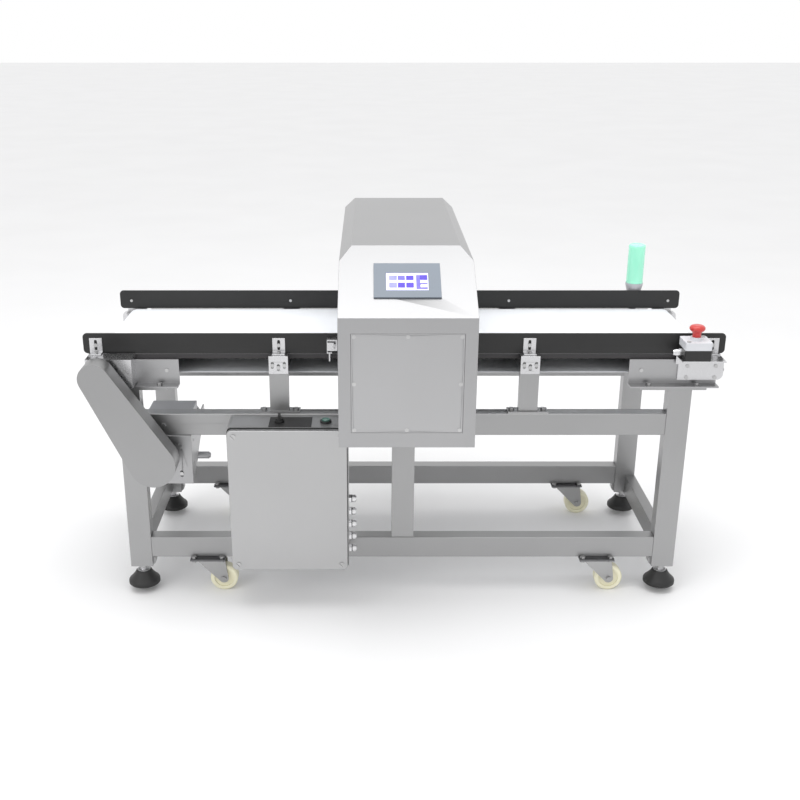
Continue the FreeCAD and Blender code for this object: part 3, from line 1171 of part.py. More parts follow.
def sloped_box(name, wide, high, up, out, thick):
    """A block centred across the slope, with its outer face at a distance from it."""
    item = DOC.addObject("Part::Box", name)
    for prop, text in zip(("Length", "Width", "Height"), (wide, high, thick)):
        bind(item, prop, text)
    return tilted(item, f"-({wide}) / 2", f"({up}) - ({high}) / 2", f"({out}) - ({thick})")


def detector_housing():
    shell = cut("head_shell", head_solid("head_outside", "0", "0"),
                [head_solid("head_inside", "housing_wall", "housing_wall / 2")])
    tunnel = box("head_tunnel", *ring_sides("housing_wall"))
    frame_start, frame_sides = panel_sides("panel_gap + housing_wall", "housing_wall", "2 * panel_thick")
    ledge = box("head_ledge", frame_start, frame_sides)
    tools = [
        box("head_aperture", *ring_sides("0")),
        box("head_panel_recess", *panel_sides("panel_gap", "0", "housing_wall")),
        box("head_panel_opening", *panel_sides("-ledge_wide", "0", "housing_wall + 3 * panel_thick")),
        sloped_box("head_display_opening", "bezel_wide - 2 * display_margin", "bezel_high - 2 * display_margin",
                   "bezel_up", "housing_wall", "3 * housing_wall"),
    ]
    whole = join("head_metal", [shell, tunnel, ledge])
    node(cut("detector_housing", whole, tools), "detector_housing")
    liner = cut("aperture_liner", box("liner_outside", *ring_sides("0")),
                [box("liner_inside", *ring_sides("-liner_wall"))])
    node(liner, "aperture_liner")
    coil_start, coil_sides = ring_sides("housing_wall + coil_wall")
    coil_start, coil_sides = ("-coil_length / 2",) + coil_start[1:], ("coil_length",) + coil_sides[1:]
    coils = cut("search_coils", box("coil_outside", coil_start, coil_sides),
                [box("coil_inside", *ring_sides("housing_wall"))])
    node(coils, "search_coils")


def panel_sides(spread, inward, thick):
    """Start and sides of a block behind the front face, round the service panel."""
    return (("-panel_wide / 2 - ({0})".format(spread), f"{inward} - housing_front",
             "panel_low - ({0})".format(spread)),
            ("panel_wide + 2 * ({0})".format(spread), thick, "panel_high + 2 * ({0})".format(spread)))


def service_panel():
    start, sides = panel_sides("0", "housing_wall - panel_thick", "panel_thick")
    node(box("service_panel", start, sides), "service_panel")


def touch_panel():
    bezel = sloped_box("display_bezel", "bezel_wide", "bezel_high", "bezel_up", "bezel_thick", "bezel_thick")
    behind = sloped_box("display_body", "bezel_wide - 2 * display_margin - 2 * free_gap",
                        "bezel_high - 2 * display_margin - 2 * free_gap", "bezel_up", "0", "display_box")
    screen_up = "bezel_up - screen_drop"
    pocket = sloped_box("display_pocket", "screen_wide", "screen_high", screen_up, "bezel_thick",
                        "screen_sink + screen_thick")
    node(cut("touch_panel", join("display_case", [bezel, behind]), [pocket]), "touch_panel")
    node(sloped_box("touch_screen", "screen_wide", "screen_high", screen_up, "bezel_thick - screen_sink",
                    "screen_thick"), "touch_screen")


# ---------------------------------------------------------------- control cabinet
CABINET_LEFT = "(-cabinet_x - cabinet_wide / 2)"
CABINET_BACK = "(-frame_depth / 2)"
CABINET_FRONT = f"({CABINET_BACK} - cabinet_deep)"
BODY_FRONT = f"({CABINET_FRONT} + door_deep + gasket_thick)"


def cabinet_block(name, inset, front, deep, rounding):
    """A block with rounded upright corners seen from the front."""
    left, right = f"{CABINET_LEFT} + {inset}", f"{CABINET_LEFT} + cabinet_wide - ({inset})"
    low, high = f"cabinet_low + {inset}", f"{CABINET_TOP} - ({inset})"
    block = prism(name, "y", [(left, low), (right, low), (right, high), (left, high)], front, deep)
    return round_corners(block, "y", rounding)


def cabinet():
    outer = cabinet_block("cabinet_outside", "0", BODY_FRONT,
                          f"{CABINET_BACK} - {BODY_FRONT}", "cabinet_round")
    hollow = cabinet_block("cabinet_hollow", "cabinet_wall", f"{BODY_FRONT} + cabinet_wall",
                           f"{CABINET_BACK} - {BODY_FRONT} - 2 * cabinet_wall",
                           "cabinet_round - cabinet_wall")
    opening = cabinet_block("cabinet_opening", "door_inset + gasket_wide", BODY_FRONT,
                            "2 * cabinet_wall", "door_inset")
    tools = [hollow, opening]
    for number in range(GLAND_COUNT):
        level = f"gland_low + {number} * gland_pitch"
        tools.append(rod(f"cabinet_gland_hole_{number}", "x",
                         (f"{CABINET_LEFT} + cabinet_wide - 2 * cabinet_wall", "-gland_y", level),
                         "gland_thread", "2 * cabinet_wall"))
    tools.append(rod("selector_hole", "z", ("-selector_x", "-control_y", f"{CABINET_TOP} - 2 * cabinet_wall"),
                     "control_stem + hole_gap", "2 * cabinet_wall"))
    tools.append(rod("button_hole", "z", ("-button_x", "-control_y", f"{CABINET_TOP} - 2 * cabinet_wall"),
                     "control_stem + hole_gap", "2 * cabinet_wall"))
    node(cut("cabinet_body", outer, tools), "cabinet_body")
    ring = cabinet_block("gasket_outside", "door_inset / 2", f"{BODY_FRONT} - gasket_thick",
                         "gasket_thick", "cabinet_round - door_inset / 2")
    inner = cabinet_block("gasket_inside", "door_inset / 2 + gasket_wide", f"{BODY_FRONT} - gasket_thick",
                          "gasket_thick", "door_inset")
    node(cut("cabinet_gasket", ring, [inner]), "cabinet_gasket")
    pan = cabinet_block("door_outside", "door_inset", CABINET_FRONT, "door_deep", "cabinet_round")
    soften(pan, "cabinet_wall", lambda edge: edge.CenterOfMass.y < pan.Shape.BoundBox.YMin + 0.1)
    hollow = cabinet_block("door_hollow", "door_inset + cabinet_wall", f"{CABINET_FRONT} + cabinet_wall",
                           "door_deep", "cabinet_round - cabinet_wall")
    node(cut("cabinet_door", pan, [hollow]), "cabinet_door")


def soften(body, radius, keep):
    """Round the edges of a body that keep picks."""
    DOC.recompute()
    base = body.Tip
    names = [f"Edge{number}" for number, edge in enumerate(base.Shape.Edges, start=1) if keep(edge)]
    fillet = body.newObject("PartDesign::Fillet", body.Name + "_soft")
    fillet.Base = (base, names)
    bind(fillet, "Radius", radius)
    return body


def gland(name, axis, start, radius, length, way=1):
    """A cable gland that stands on a wall: hexagon, cap and a threaded stub."""
    def along(distance, piece):
        point = list(start)
        index = "xyz".index(axis)
        move = f"+ {distance}" if way > 0 else f"- ({distance}) - ({piece})"
        point[index] = f"{point[index]} {move}"
        return tuple(point)

    collar = hexagon(name + "_hex", axis, along("0", "gland_hex"), f"{radius} * 1.12", "gland_hex")
    neck = rod(name + "_neck", axis, along("0", f"{length} - 2"), f"{radius} - 1", f"{length} - 2")
    cap = rod(name + "_cap", axis, along("gland_hex + 2", "gland_cap"), radius, "gland_cap")
    tip = rod(name + "_tip", axis, along("0", length), "gland_bore + 3", length)
    stub = rod(name + "_stub", axis, along("-8", "8"), "gland_thread", "8")
    bore = rod(name + "_bore", axis, along("-8", f"8 + {length}"), "gland_bore", f"8 + {length}")
    return cut(name, join(name + "_body", [collar, neck, cap, tip, stub]), [bore])


def cable_glands():
    right = f"{CABINET_LEFT} + cabinet_wide"
    glands = [gland(f"gland_{number}", "x", (right, "-gland_y", f"gland_low + {number} * gland_pitch"),
                    "gland_radius", "gland_length") for number in range(GLAND_COUNT)]
    glands.append(gland("gland_stop", "x", ("stop_x - stop_side / 2", STOP_Y, STOP_GLAND),
                        "stop_gland_radius", "stop_gland_length", way=-1))
    node(group("cable_glands", glands), "cable_glands")


# ---------------------------------------------------------------- controls
def controls():
    top = CABINET_TOP
    plate = box("label_plate", ("-label_x - label_wide / 2", "-control_y - label_deep / 2", top),
                ("label_wide", "label_deep", "label_thick"))
    plate_hole = rod("label_plate_hole", "z", ("-selector_x", "-control_y", top),
                     "control_stem + hole_gap", "label_thick")
    selector_ring = cut("selector_collar", rod("selector_collar_disc", "z",
                        ("-selector_x", "-control_y", f"{top} + label_thick"), "knob_radius + 2", "collar_high"),
                        [rod("selector_collar_bore", "z", ("-selector_x", "-control_y", f"{top} + label_thick"),
                             "control_stem + run_fit", "collar_high")])
    button_ring = cut("button_collar", rod("button_collar_disc", "z", ("-button_x", "-control_y", top),
                      "collar_radius", "collar_high"),
                      [rod("button_collar_bore", "z", ("-button_x", "-control_y", top),
                           "button_radius + run_fit", "collar_high")])
    node(group("control_bezels", [cut("label_plate_cut", plate, [plate_hole]), selector_ring, button_ring]),
         "control_bezels")
    knob_low = f"{top} + label_thick + collar_high + free_gap"
    stem = rod("selector_stem", "z", ("-selector_x", "-control_y", f"{top} - control_depth"),
               "control_stem", f"{knob_low} - {top} + control_depth")
    disc = rod("selector_disc", "z", ("-selector_x", "-control_y", knob_low), "knob_radius", "knob_high / 3")
    grip_round = rod("selector_grip_round", "z", ("-selector_x", "-control_y", knob_low),
                     "knob_radius", "knob_high")
    grip_slab = box("selector_grip_slab", ("-selector_x - grip_wide / 2", "-control_y - knob_radius", knob_low),
                    ("grip_wide", "2 * knob_radius", "knob_high"))
    grip = common("selector_grip", grip_round, grip_slab)
    node(join("selector_knob", [stem, disc, grip]), "selector_knob")
    head_low = f"{top} + button_travel + free_gap"
    head = rod("button_head", "z", ("-button_x", "-control_y", head_low), "button_radius",
               "collar_high + button_rise - button_travel - free_gap")
    stem = rod("button_stem", "z", ("-button_x", "-control_y", f"{top} - control_depth"), "control_stem",
               f"{head_low} - {top} + control_depth")
    node(join("start_button", [head, stem]), "start_button")


# ---------------------------------------------------------------- stop switch
STOP_Y = "(-stop_rear - stop_side / 2)"
STOP_LID = "(shelf_level + stop_base_high)"
STOP_TOP = f"({STOP_LID} + stop_lid_high)"
STOP_GLAND = "(shelf_level + stop_base_high / 2)"


def stop_block(name, inset, low, high, rounding):
    left, right = f"stop_x - stop_side / 2 + {inset}", f"stop_x + stop_side / 2 - {inset}"
    near, far = f"{STOP_Y} - stop_side / 2 + {inset}", f"{STOP_Y} + stop_side / 2 - {inset}"
    block = prism(name, "z", [(left, near), (right, near), (right, far), (left, far)], low, high)
    return round_corners(block, "z", rounding)


def stop_switch():
    base = stop_block("stop_base_outside", "0", "shelf_level", "stop_base_high", "stop_round")
    hollow = stop_block("stop_base_hollow", "stop_wall", "shelf_level + stop_wall", "stop_base_high",
                        "stop_round - stop_wall")
    hole = rod("stop_base_hole", "x", ("stop_x - stop_side / 2", STOP_Y, STOP_GLAND), "gland_thread",
               "2 * stop_wall")
    node(cut("stop_base", base, [hollow, hole]), "stop_base")
    cover = stop_block("stop_lid_outside", "0", STOP_LID, "stop_lid_high", "stop_round")
    inside = stop_block("stop_lid_hollow", "stop_wall", f"{STOP_LID} - stop_wall", "stop_lid_high",
                        "stop_round - stop_wall")
    collar = rod("stop_collar", "z", ("stop_x", STOP_Y, STOP_TOP), "stop_collar_radius", "stop_collar_high")
    bore = rod("stop_collar_bore", "z", ("stop_x", STOP_Y, f"{STOP_TOP} - 2 * stop_wall"),
               "stop_stem + run_fit", "2 * stop_wall + stop_collar_high")
    lid = cut("stop_lid_pan", cover, [inside])
    node(cut("stop_lid", join("stop_lid_body", [lid, collar]), [bore]), "stop_lid")
    crown = "mushroom_high"
    head = turned("stop_button", [
        ("0", "-2 * stop_travel"), ("stop_stem", "-2 * stop_travel"), ("stop_stem", "stop_travel + 2"),
        (f"stop_stem + 2", f"0.42 * {crown}"), ("mushroom_radius - 3", f"0.55 * {crown}"),
        ("mushroom_radius", f"0.66 * {crown}"), ("mushroom_radius", f"0.76 * {crown}"),
        ("mushroom_radius - 3", f"0.9 * {crown}"), ("mushroom_radius - 8", f"0.97 * {crown}"),
        ("0", crown),
    ])
    node(place(head, "stop_x", STOP_Y, f"{STOP_TOP} + stop_collar_high"), "stop_button")


# ---------------------------------------------------------------- signal light
def signal_light():
    flange = f"({CHANNEL_BASE} + channel_sheet)"
    foot = box("light_foot_plate", ("light_x - light_foot", "light_y - light_foot", flange),
               ("2 * light_foot", "2 * light_foot", "light_foot_thick"))
    pole = rod("light_pole_tube", "z", ("light_x", "light_y", flange), "light_pole",
               f"light_base_low - {flange}")
    base = turned("light_base_cone", [
        ("0", "0"), ("light_base_radius", "0"), ("light_base_radius", "3"),
        ("light_radius", "light_joint - light_base_low - 4"), ("light_radius", "light_joint - light_base_low"),
        ("0", "light_joint - light_base_low"),
    ])
    place(base, "light_x", "light_y", "light_base_low")
    node(join("tower_light_base", [foot, pole, base]), "tower_light_base")
    high = "(light_top - light_joint)"
    lens = turned("tower_light_lens", [
        ("0", "0"), ("light_radius - 1", "0"), ("light_radius - 1", f"{high} - 6"),
        ("light_radius - 3", f"{high} - 2"), ("light_radius - 8", high), ("0", high),
    ])
    node(place(lens, "light_x", "light_y", "light_joint"), "tower_light_lens")


# ---------------------------------------------------------------- photo sensor
def photo_eye():
    rail = "(-bed_width / 2)"
    left = "-eye_x - eye_plate_wide / 2"
    sheet = "bracket_sheet"
    plate = box("eye_plate", (left, f"{rail} - {sheet}", "eye_plate_low"),
                ("eye_plate_wide", sheet, "eye_plate_high - eye_plate_low"))
    lips = []
    for label, level, wide in (("upper", f"eye_plate_high - {sheet}", "eye_plate_wide"),
                               ("lower", "eye_plate_low", "eye_plate_wide / 2")):
        lips.append(box(f"eye_lip_{label}", (left, f"{rail} - {sheet} - eye_body_deep", level),
                        (wide, "eye_body_deep", sheet)))
    cheek = box("eye_cheek", (left, f"{rail} - {sheet} - eye_body_deep", "eye_plate_low"),
                ("bracket_sheet / 2", "eye_body_deep", "eye_plate_high - eye_plate_low"))
    bracket = join("eye_bracket", [plate, cheek] + lips)
    body_left = f"{left} + bracket_sheet / 2"
    middle = "(eye_plate_low + eye_plate_high) / 2"
    block = box("eye_body", (body_left, f"{rail} - {sheet} - eye_body_deep", f"{middle} - eye_body_high / 2"),
                ("eye_body_wide", "eye_body_deep", "eye_body_high"))
    lens = rod("eye_lens", "x", (f"{body_left} + eye_body_wide", f"{rail} - {sheet} - eye_body_deep / 2",
                                 middle), "0.36 * eye_body_high", "0.25 * eye_body_wide")
    plug = rod("eye_plug", "z", (f"{left} + eye_plate_wide / 4", f"{rail} - {sheet} - eye_body_deep / 2",
                                 "eye_plate_low - eye_body_deep"), "bracket_sheet", "eye_body_deep")
    node(group("photo_eye", [bracket, block, lens, plug]), "photo_eye")


# ---------------------------------------------------------------- fasteners
FRAME_BOLTS = []
SCREWS = []
STYLES = {
    "bolt": ("bolt_radius", "bolt_head", "bolt_head_high", FRAME_BOLTS),
    "screw": ("screw_radius", "screw_head", "screw_head_high", SCREWS),
    "flush": ("screw_radius", "screw_head", "panel_screw_high", SCREWS),
    "turn": ("screw_radius", "turn_head", "screw_head_high", SCREWS),
}


def fastener(name, style, axis, way, seat, grip, through, nut=None):
    """A bolt or screw whose head stands on its seat, on the side that way tells.

    The sub-parts that it passes through get a hole of the shank's size.
    """
    radius, head_radius, head_high, holder = STYLES[style]
    index = "xyz".index(axis)

    def at(distance):
        point = list(seat)
        point[index] = f"{point[index]} + {distance}"
        return tuple(point)

    shank_low = "0" if way < 0 else f"-({grip})"
    head_low = f"-({head_high})" if way < 0 else "0"
    shank = rod(name + "_shank", axis, at(shank_low), radius, grip)
    maker = hexagon if style == "bolt" else rod
    parts = [shank, maker(name + "_head", axis, at(head_low), head_radius, head_high)]
    if nut:
        nut_radius, nut_high = nut
        nut_low = f"{grip} - ({nut_high})" if way < 0 else f"-({grip})"
        parts.append(maker(name + "_nut", axis, at(nut_low), nut_radius, nut_high))
    whole = join(name, parts)
    if style == "turn":
        slot = box(name + "_slot", ("-turn_head", "-grip_wide / 8", "0"),
                   ("2 * turn_head", "grip_wide / 4", "2 * screw_head_high"), line="0")
        slot.Placement = Placement(Vector(), TURNS["y"] * Rotation(Vector(0, 0, 1), 45))
        bind(slot, "Placement.Base.x", f"{seat[0]} - 0.7071 * turn_head - 0.0884 * grip_wide")
        bind(slot, "Placement.Base.y", f"{seat[1]} - 1.5 * screw_head_high + {LINE}")
        bind(slot, "Placement.Base.z", f"{seat[2]} + 0.7071 * turn_head - 0.0884 * grip_wide")
        whole = cut(name + "_slotted", whole, [slot])
    holder.append(whole)
    for label in through:
        HOLES.setdefault(label, []).append(shank)


def caster_bolts(end, side):
    x, y = f"{SIDES[side]} * caster_x", f"{ENDS[end]} * {LEG_Y}"
    for dx in (-1, 1):
        for dy in (-1, 1):
            name = f"caster_bolt_{end}_{side}_{dx + 1}{dy + 1}"
            seat = (f"{x} + {dx} * caster_bolt_x / 2", f"{y} + {dy} * caster_bolt_y / 2", "lower_beam_level")
            fastener(name, "bolt", "z", 1, seat, "caster_plate_thick + bolt_head_high", ["caster_plates"],
                     nut=("bolt_head", "bolt_head_high"))


def lock_nut(end, side):
    x, y = f"{SIDES[side]} * {LEG_X}", f"{ENDS[end]} * {LEG_Y}"
    name = f"lock_nut_{end}_{side}"
    blank = hexagon(name + "_blank", "z", (x, y, "leg_foot - lock_nut_high"), "lock_nut_radius", "lock_nut_high")
    bore = rod(name + "_bore", "z", (x, y, "leg_foot - lock_nut_high"), "spindle_radius + run_fit",
               "lock_nut_high")
    FRAME_BOLTS.append(cut(name, blank, [bore]))


def trestle_bolts():
    for end, way in ENDS.items():
        for side, sign in SIDES.items():
            for step in (-1, 1):
                seat = (f"{sign} * support_x + {step} * base_bolt", f"{way} * {LEG_Y}",
                        f"{UPPER_BEAM_TOP} + base_thick")
                fastener(f"trestle_bolt_{end}_{side}_{step + 1}", "bolt", "z", 1, seat,
                         "base_thick + 3 * tube_wall", ["bed_supports", f"upper_beam_{end}"])
                spot = f"({sign} * support_x + {step} * post_wide / 3.2)"
                level = "shelf_level - shelf_drop / 2"
                shelf_face = f"{way} * (post_y + bracket_sheet)"
                fastener(f"shelf_screw_{end}_{side}_{step + 1}", "screw", "y", way,
                         (spot, shelf_face, level), "bracket_sheet + post_deep / 2", ["bed_supports"])
            fastener(f"shelf_screw_{end}_{side}_middle", "screw", "y", way,
                     (f"{sign} * support_x", f"{way} * (post_y + bracket_sheet)",
                      "shelf_level - shelf_drop / 2 - 6"), "bracket_sheet + post_deep / 2", ["bed_supports"])


def rail_screws():
    for end, way in ENDS.items():
        for label, sign, reach in BRACKETS:
            x = f"{sign} * {reach}"
            face = f"{way} * (bed_width / 2 + bracket_sheet)"
            level = "shelf_level + (bracket_high + bracket_sheet) / 2"
            fastener(f"rail_screw_{end}_{label}_{reach}", "screw", "y", way, (x, face, level),
                     "bracket_sheet + rail_thick + screw_nub", ["guide_rails"], nut=("screw_nut", "screw_nub"))
            holder = "bracket_shelves"
            if (end, label, reach) == ("front", "left", "bracket_end_x"):
                holder = "bearing_plates"
            fastener(f"foot_screw_{end}_{label}_{reach}", "screw", "z", 1,
                     (x, f"{way} * (bed_width / 2 + 0.36 * bracket_foot)", "shelf_level + bracket_sheet"),
                     "2 * bracket_sheet + screw_nub", ["rail_brackets", holder], nut=("screw_nut", "screw_nub"))


def channel_screws():
    for end, way in ENDS.items():
        for side, sign in SIDES.items():
            for number, reach in enumerate(("flange_bolt_inner", "flange_bolt_outer")):
                seat = (f"{sign} * {reach}", f"{way} * (channel_y + channel_foot / 2)",
                        f"{CHANNEL_BASE} + channel_sheet")
                fastener(f"flange_bolt_{end}_{side}_{number}", "bolt", "z", 1, seat,
                         "channel_sheet + cap_thick + 2", ["end_channels", f"leg_{end}_{side}"])
            fastener(f"web_screw_{end}_{side}", "screw", "y", way,
                     (f"{sign} * web_screw_x", f"{way} * channel_y", "web_screw_level"),
                     "2 * channel_sheet", ["end_channels"])
    for end, side in (("front", "right"), ("rear", "right"), ("rear", "left")):
        way, sign = ENDS[end], SIDES[side]
        for step, x in ((-1, "plate_bolt_inner"), (1, "plate_bolt_outer")):
            for level in ("plate_bolt_low", "plate_bolt_high"):
                fastener(f"plate_screw_{end}_{side}_{step + 1}_{level}", "screw", "y", way,
                         (f"{sign} * {x}", f"{way} * (channel_y + plate_thick)", level),
                         "plate_thick + 2 * channel_sheet", ["bearing_plates", "end_channels"])
    for end in ENDS:
        way = ENDS[end]
        fastener(f"tension_bolt_{end}", "flush", "x", 1,
                 ("plate_outer", f"{way} * (channel_y + plate_thick / 2)", f"{ROLLER_LEVEL} - 12"),
                 "4", ["bearing_plates"])
    for number, (x, level) in enumerate((("-bracket_screw_x", f"{ROLLER_LEVEL}"),)):
        fastener(f"bracket_screw_{number}", "screw", "y", -1,
                 (x, "-channel_y - drive_box_reach", level), "2 * bracket_sheet", ["bearing_plates"])


def drive_screws():
    for number, level in enumerate(("motor_level + 13", "motor_level - 61")):
        fastener(f"mount_screw_{number}", "screw", "y", -1,
                 ("-mount_right - 30", "-frame_depth / 2 - mount_sheet", level),
                 "mount_sheet + 12", ["gear_motor"])
    fastener("beam_bolt", "bolt", "y", -1, ("-beam_bolt_x", "-frame_depth / 2", "beam_bolt_level"),
             "3 * tube_wall", ["upper_beam_front"])


def panel_screws():
    face = "(housing_wall - panel_thick - housing_front)"
    middle = "(panel_low + panel_high / 2)"
    for across in (-1, 0, 1):
        for up in (-1, 0, 1):
            if across == 0 and up == 0:
                continue
            seat = (f"{across} * (panel_wide / 2 - ledge_wide / 2)", face,
                    f"{middle} + {up} * (panel_high / 2 - ledge_wide / 2)")
            fastener(f"panel_screw_{across + 1}{up + 1}", "flush", "y", -1, seat, "3 * panel_thick",
                     ["service_panel", "detector_housing"])
    for across in (-1, 1):
        for up in (-1, 1):
            seat = (f"-cabinet_x + {across} * (cabinet_wide / 2 - door_lock)", CABINET_FRONT,
                    f"cabinet_low + cabinet_high / 2 + {up} * (cabinet_high / 2 - door_lock)")
            fastener(f"door_lock_{across + 1}{up + 1}", "turn", "y", -1, seat, "door_deep", ["cabinet_door"])
    for number, (across, along) in enumerate(((-1, -1), (1, 1))):
        seat = (f"stop_x + {across} * (stop_side / 2 - 9)", f"{STOP_Y} + {along} * (stop_side / 2 - 9)", STOP_TOP)
        fastener(f"lid_screw_{number}", "screw", "z", 1, seat, "stop_lid_high + 2", ["stop_lid"])


def make_fasteners():
    for end in ENDS:
        for side in SIDES:
            caster_bolts(end, side)
            lock_nut(end, side)
    trestle_bolts()
    rail_screws()
    channel_screws()
    drive_screws()
    panel_screws()


# ---------------------------------------------------------------- the whole machine
make_fasteners()
frame()
for END in ENDS:
    for SIDE in SIDES:
        levelling_foot(END, SIDE)
        caster_fork(END, SIDE)
        caster_wheel(END, SIDE)
caster_plates()
bed_supports()
bed()
end_channels()
belt()
rollers()
bearing_plates()
guide_rails()
rail_brackets()
bracket_shelves()
chain_guard()
chain()
motor()
motor_bracket()
detector_housing()
service_panel()
touch_panel()
photo_eye()
cabinet()
cable_glands()
controls()
stop_switch()
signal_light()
node(group("frame_fasteners", FRAME_BOLTS), "frame_fasteners")
node(group("machine_screws", SCREWS), "machine_screws")
DOC.recompute()

# ---------------------------------------------------------------- checks and files
for item in DOC.Objects:
    if "Invalid" in item.State or "Error" in item.State:
        raise RuntimeError(f"{item.Name} is not right: {item.State}")
for item in NODES:
    if item.Shape.isNull() or not item.Shape.isValid() or not item.Shape.Solids:
        raise RuntimeError(f"{item.Label} has no valid shape")
os.makedirs("parts", exist_ok=True)
for item in NODES:
    item.Shape.exportStep(f"parts/{item.Label}.step")
print(len(NODES), "sub-parts written")
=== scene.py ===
import math

import bpy
import bmesh
from mathutils import Matrix, Vector


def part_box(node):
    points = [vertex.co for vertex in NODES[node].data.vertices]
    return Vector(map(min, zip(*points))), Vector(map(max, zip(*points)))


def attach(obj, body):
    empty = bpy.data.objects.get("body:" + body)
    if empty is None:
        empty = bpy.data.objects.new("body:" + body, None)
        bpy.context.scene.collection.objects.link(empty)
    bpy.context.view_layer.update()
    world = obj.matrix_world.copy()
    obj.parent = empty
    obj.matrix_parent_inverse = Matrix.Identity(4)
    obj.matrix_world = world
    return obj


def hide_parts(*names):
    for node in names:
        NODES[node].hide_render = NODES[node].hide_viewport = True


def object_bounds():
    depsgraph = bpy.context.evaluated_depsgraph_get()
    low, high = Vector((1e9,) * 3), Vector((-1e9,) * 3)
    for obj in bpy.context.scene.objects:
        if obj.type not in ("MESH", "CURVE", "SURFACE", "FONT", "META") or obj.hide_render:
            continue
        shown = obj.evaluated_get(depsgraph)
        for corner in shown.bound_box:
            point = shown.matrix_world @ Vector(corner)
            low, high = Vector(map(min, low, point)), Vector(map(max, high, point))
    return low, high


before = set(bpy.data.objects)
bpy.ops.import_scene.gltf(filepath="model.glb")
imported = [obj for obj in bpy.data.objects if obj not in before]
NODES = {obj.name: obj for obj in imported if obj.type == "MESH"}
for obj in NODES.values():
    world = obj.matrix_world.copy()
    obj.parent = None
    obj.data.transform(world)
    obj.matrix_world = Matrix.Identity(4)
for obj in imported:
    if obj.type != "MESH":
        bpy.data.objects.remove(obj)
CAD_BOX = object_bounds()
SCENE = bpy.context.scene
CORNER_STEPS = 4            # facets of each rounded corner of a flat plate
TURNED_STEPS = 64           # facets round a turned piece
RING_STEPS = 40             # facets round a gland's ring
NEAR_AXIS = 1e-6            # a turned point closer than this lies on the axis


# ---------------------------------------------------------------- materials
def new_material(name):
    mat = bpy.data.materials.new(name)
    mat.use_nodes = True
    tree = mat.node_tree
    shader = next(n for n in tree.nodes if n.type == "BSDF_PRINCIPLED")
    return mat, tree, shader


def node(tree, kind, **values):
    made = tree.nodes.new(kind)
    for key, value in values.items():
        if key in made.inputs:
            made.inputs[key].default_value = value
        else:
            setattr(made, key, value)
    return made


def coordinates(tree, stretch):
    place = node(tree, "ShaderNodeTexCoord")
    mapping = node(tree, "ShaderNodeMapping")
    mapping.inputs["Scale"].default_value = stretch
    tree.links.new(place.outputs["Object"], mapping.inputs["Vector"])
    return mapping.outputs["Vector"]


def noise(tree, vector, scale, detail=4.0, rough=0.55):
    made = node(tree, "ShaderNodeTexNoise")
    made.inputs["Scale"].default_value = scale
    made.inputs["Detail"].default_value = detail
    made.inputs["Roughness"].default_value = rough
    tree.links.new(vector, made.inputs["Vector"])
    return made.outputs["Fac"]


def remap(tree, value, low, high, start=0.3, end=0.7):
    made = node(tree, "ShaderNodeMapRange")
    made.inputs["From Min"].default_value = start
    made.inputs["From Max"].default_value = end
    made.inputs["To Min"].default_value = low
    made.inputs["To Max"].default_value = high
    tree.links.new(value, made.inputs["Value"])
    return made.outputs["Result"]


def shades(tree, value, stops):
    ramp = node(tree, "ShaderNodeValToRGB")
    elements = ramp.color_ramp.elements
    while len(elements) < len(stops):
        elements.new(0.5)
    for element, (position, color) in zip(elements, stops):
        element.position = position
        element.color = (*color, 1.0)
    tree.links.new(value, ramp.inputs["Fac"])
    return ramp.outputs["Color"]


def bumped(tree, shader, height, strength, distance=0.001):
    made = node(tree, "ShaderNodeBump")
    made.inputs["Strength"].default_value = strength
    made.inputs["Distance"].default_value = distance
    tree.links.new(height, made.inputs["Height"])
    tree.links.new(made.outputs["Normal"], shader.inputs["Normal"])


def tint(color, factor):
    return tuple(min(1.0, c * factor) for c in color)


def metal(name, color, rough=0.38, spread=0.05, grain=(60, 60, 60), bump=0.04, cloud=3.0):
    """Brushed steel: fine stretched grain over slow clouds of tone."""
    mat, tree, shader = new_material(name)
    shader.inputs["Metallic"].default_value = 1.0
    fine = noise(tree, coordinates(tree, grain), 12.0, detail=3.0)
    slow = noise(tree, coordinates(tree, (1, 1, 1)), cloud, detail=2.0)
    mix = node(tree, "ShaderNodeMath", operation="MULTIPLY_ADD")
    tree.links.new(fine, mix.inputs[0])
    mix.inputs[1].default_value = 0.35
    tree.links.new(slow, mix.inputs[2])
    stops = [(0.35, tint(color, 1 - spread)), (0.65, color), (0.95, tint(color, 1 + spread))]
    tree.links.new(shades(tree, mix.outputs[0], stops), shader.inputs["Base Color"])
    tree.links.new(remap(tree, fine, rough - 0.05, rough + 0.07), shader.inputs["Roughness"])
    bumped(tree, shader, fine, bump, 0.0004)
    return mat


def plastic(name, color, rough=0.45, spread=0.06, grain=900.0, bump=0.08, coat=0.0, soft=0.0):
    """Moulded plastic: fine texture, slow tone and a little gloss variation."""
    mat, tree, shader = new_material(name)
    shader.inputs["Coat Weight"].default_value = coat
    shader.inputs["Coat Roughness"].default_value = 0.12
    if soft:
        shader.inputs["Subsurface Weight"].default_value = soft
        shader.inputs["Subsurface Radius"].default_value = (0.006, 0.006, 0.006)
        shader.inputs["Subsurface Scale"].default_value = 1.0
    flat = coordinates(tree, (1, 1, 1))
    fine = noise(tree, flat, grain, detail=2.0)
    slow = noise(tree, flat, 9.0, detail=3.0)
    stops = [(0.3, tint(color, 1 - spread)), (0.7, tint(color, 1 + spread))]
    tree.links.new(shades(tree, slow, stops), shader.inputs["Base Color"])
    tree.links.new(remap(tree, slow, rough - 0.05, rough + 0.06), shader.inputs["Roughness"])
    bumped(tree, shader, fine, bump, 0.0002)
    return mat


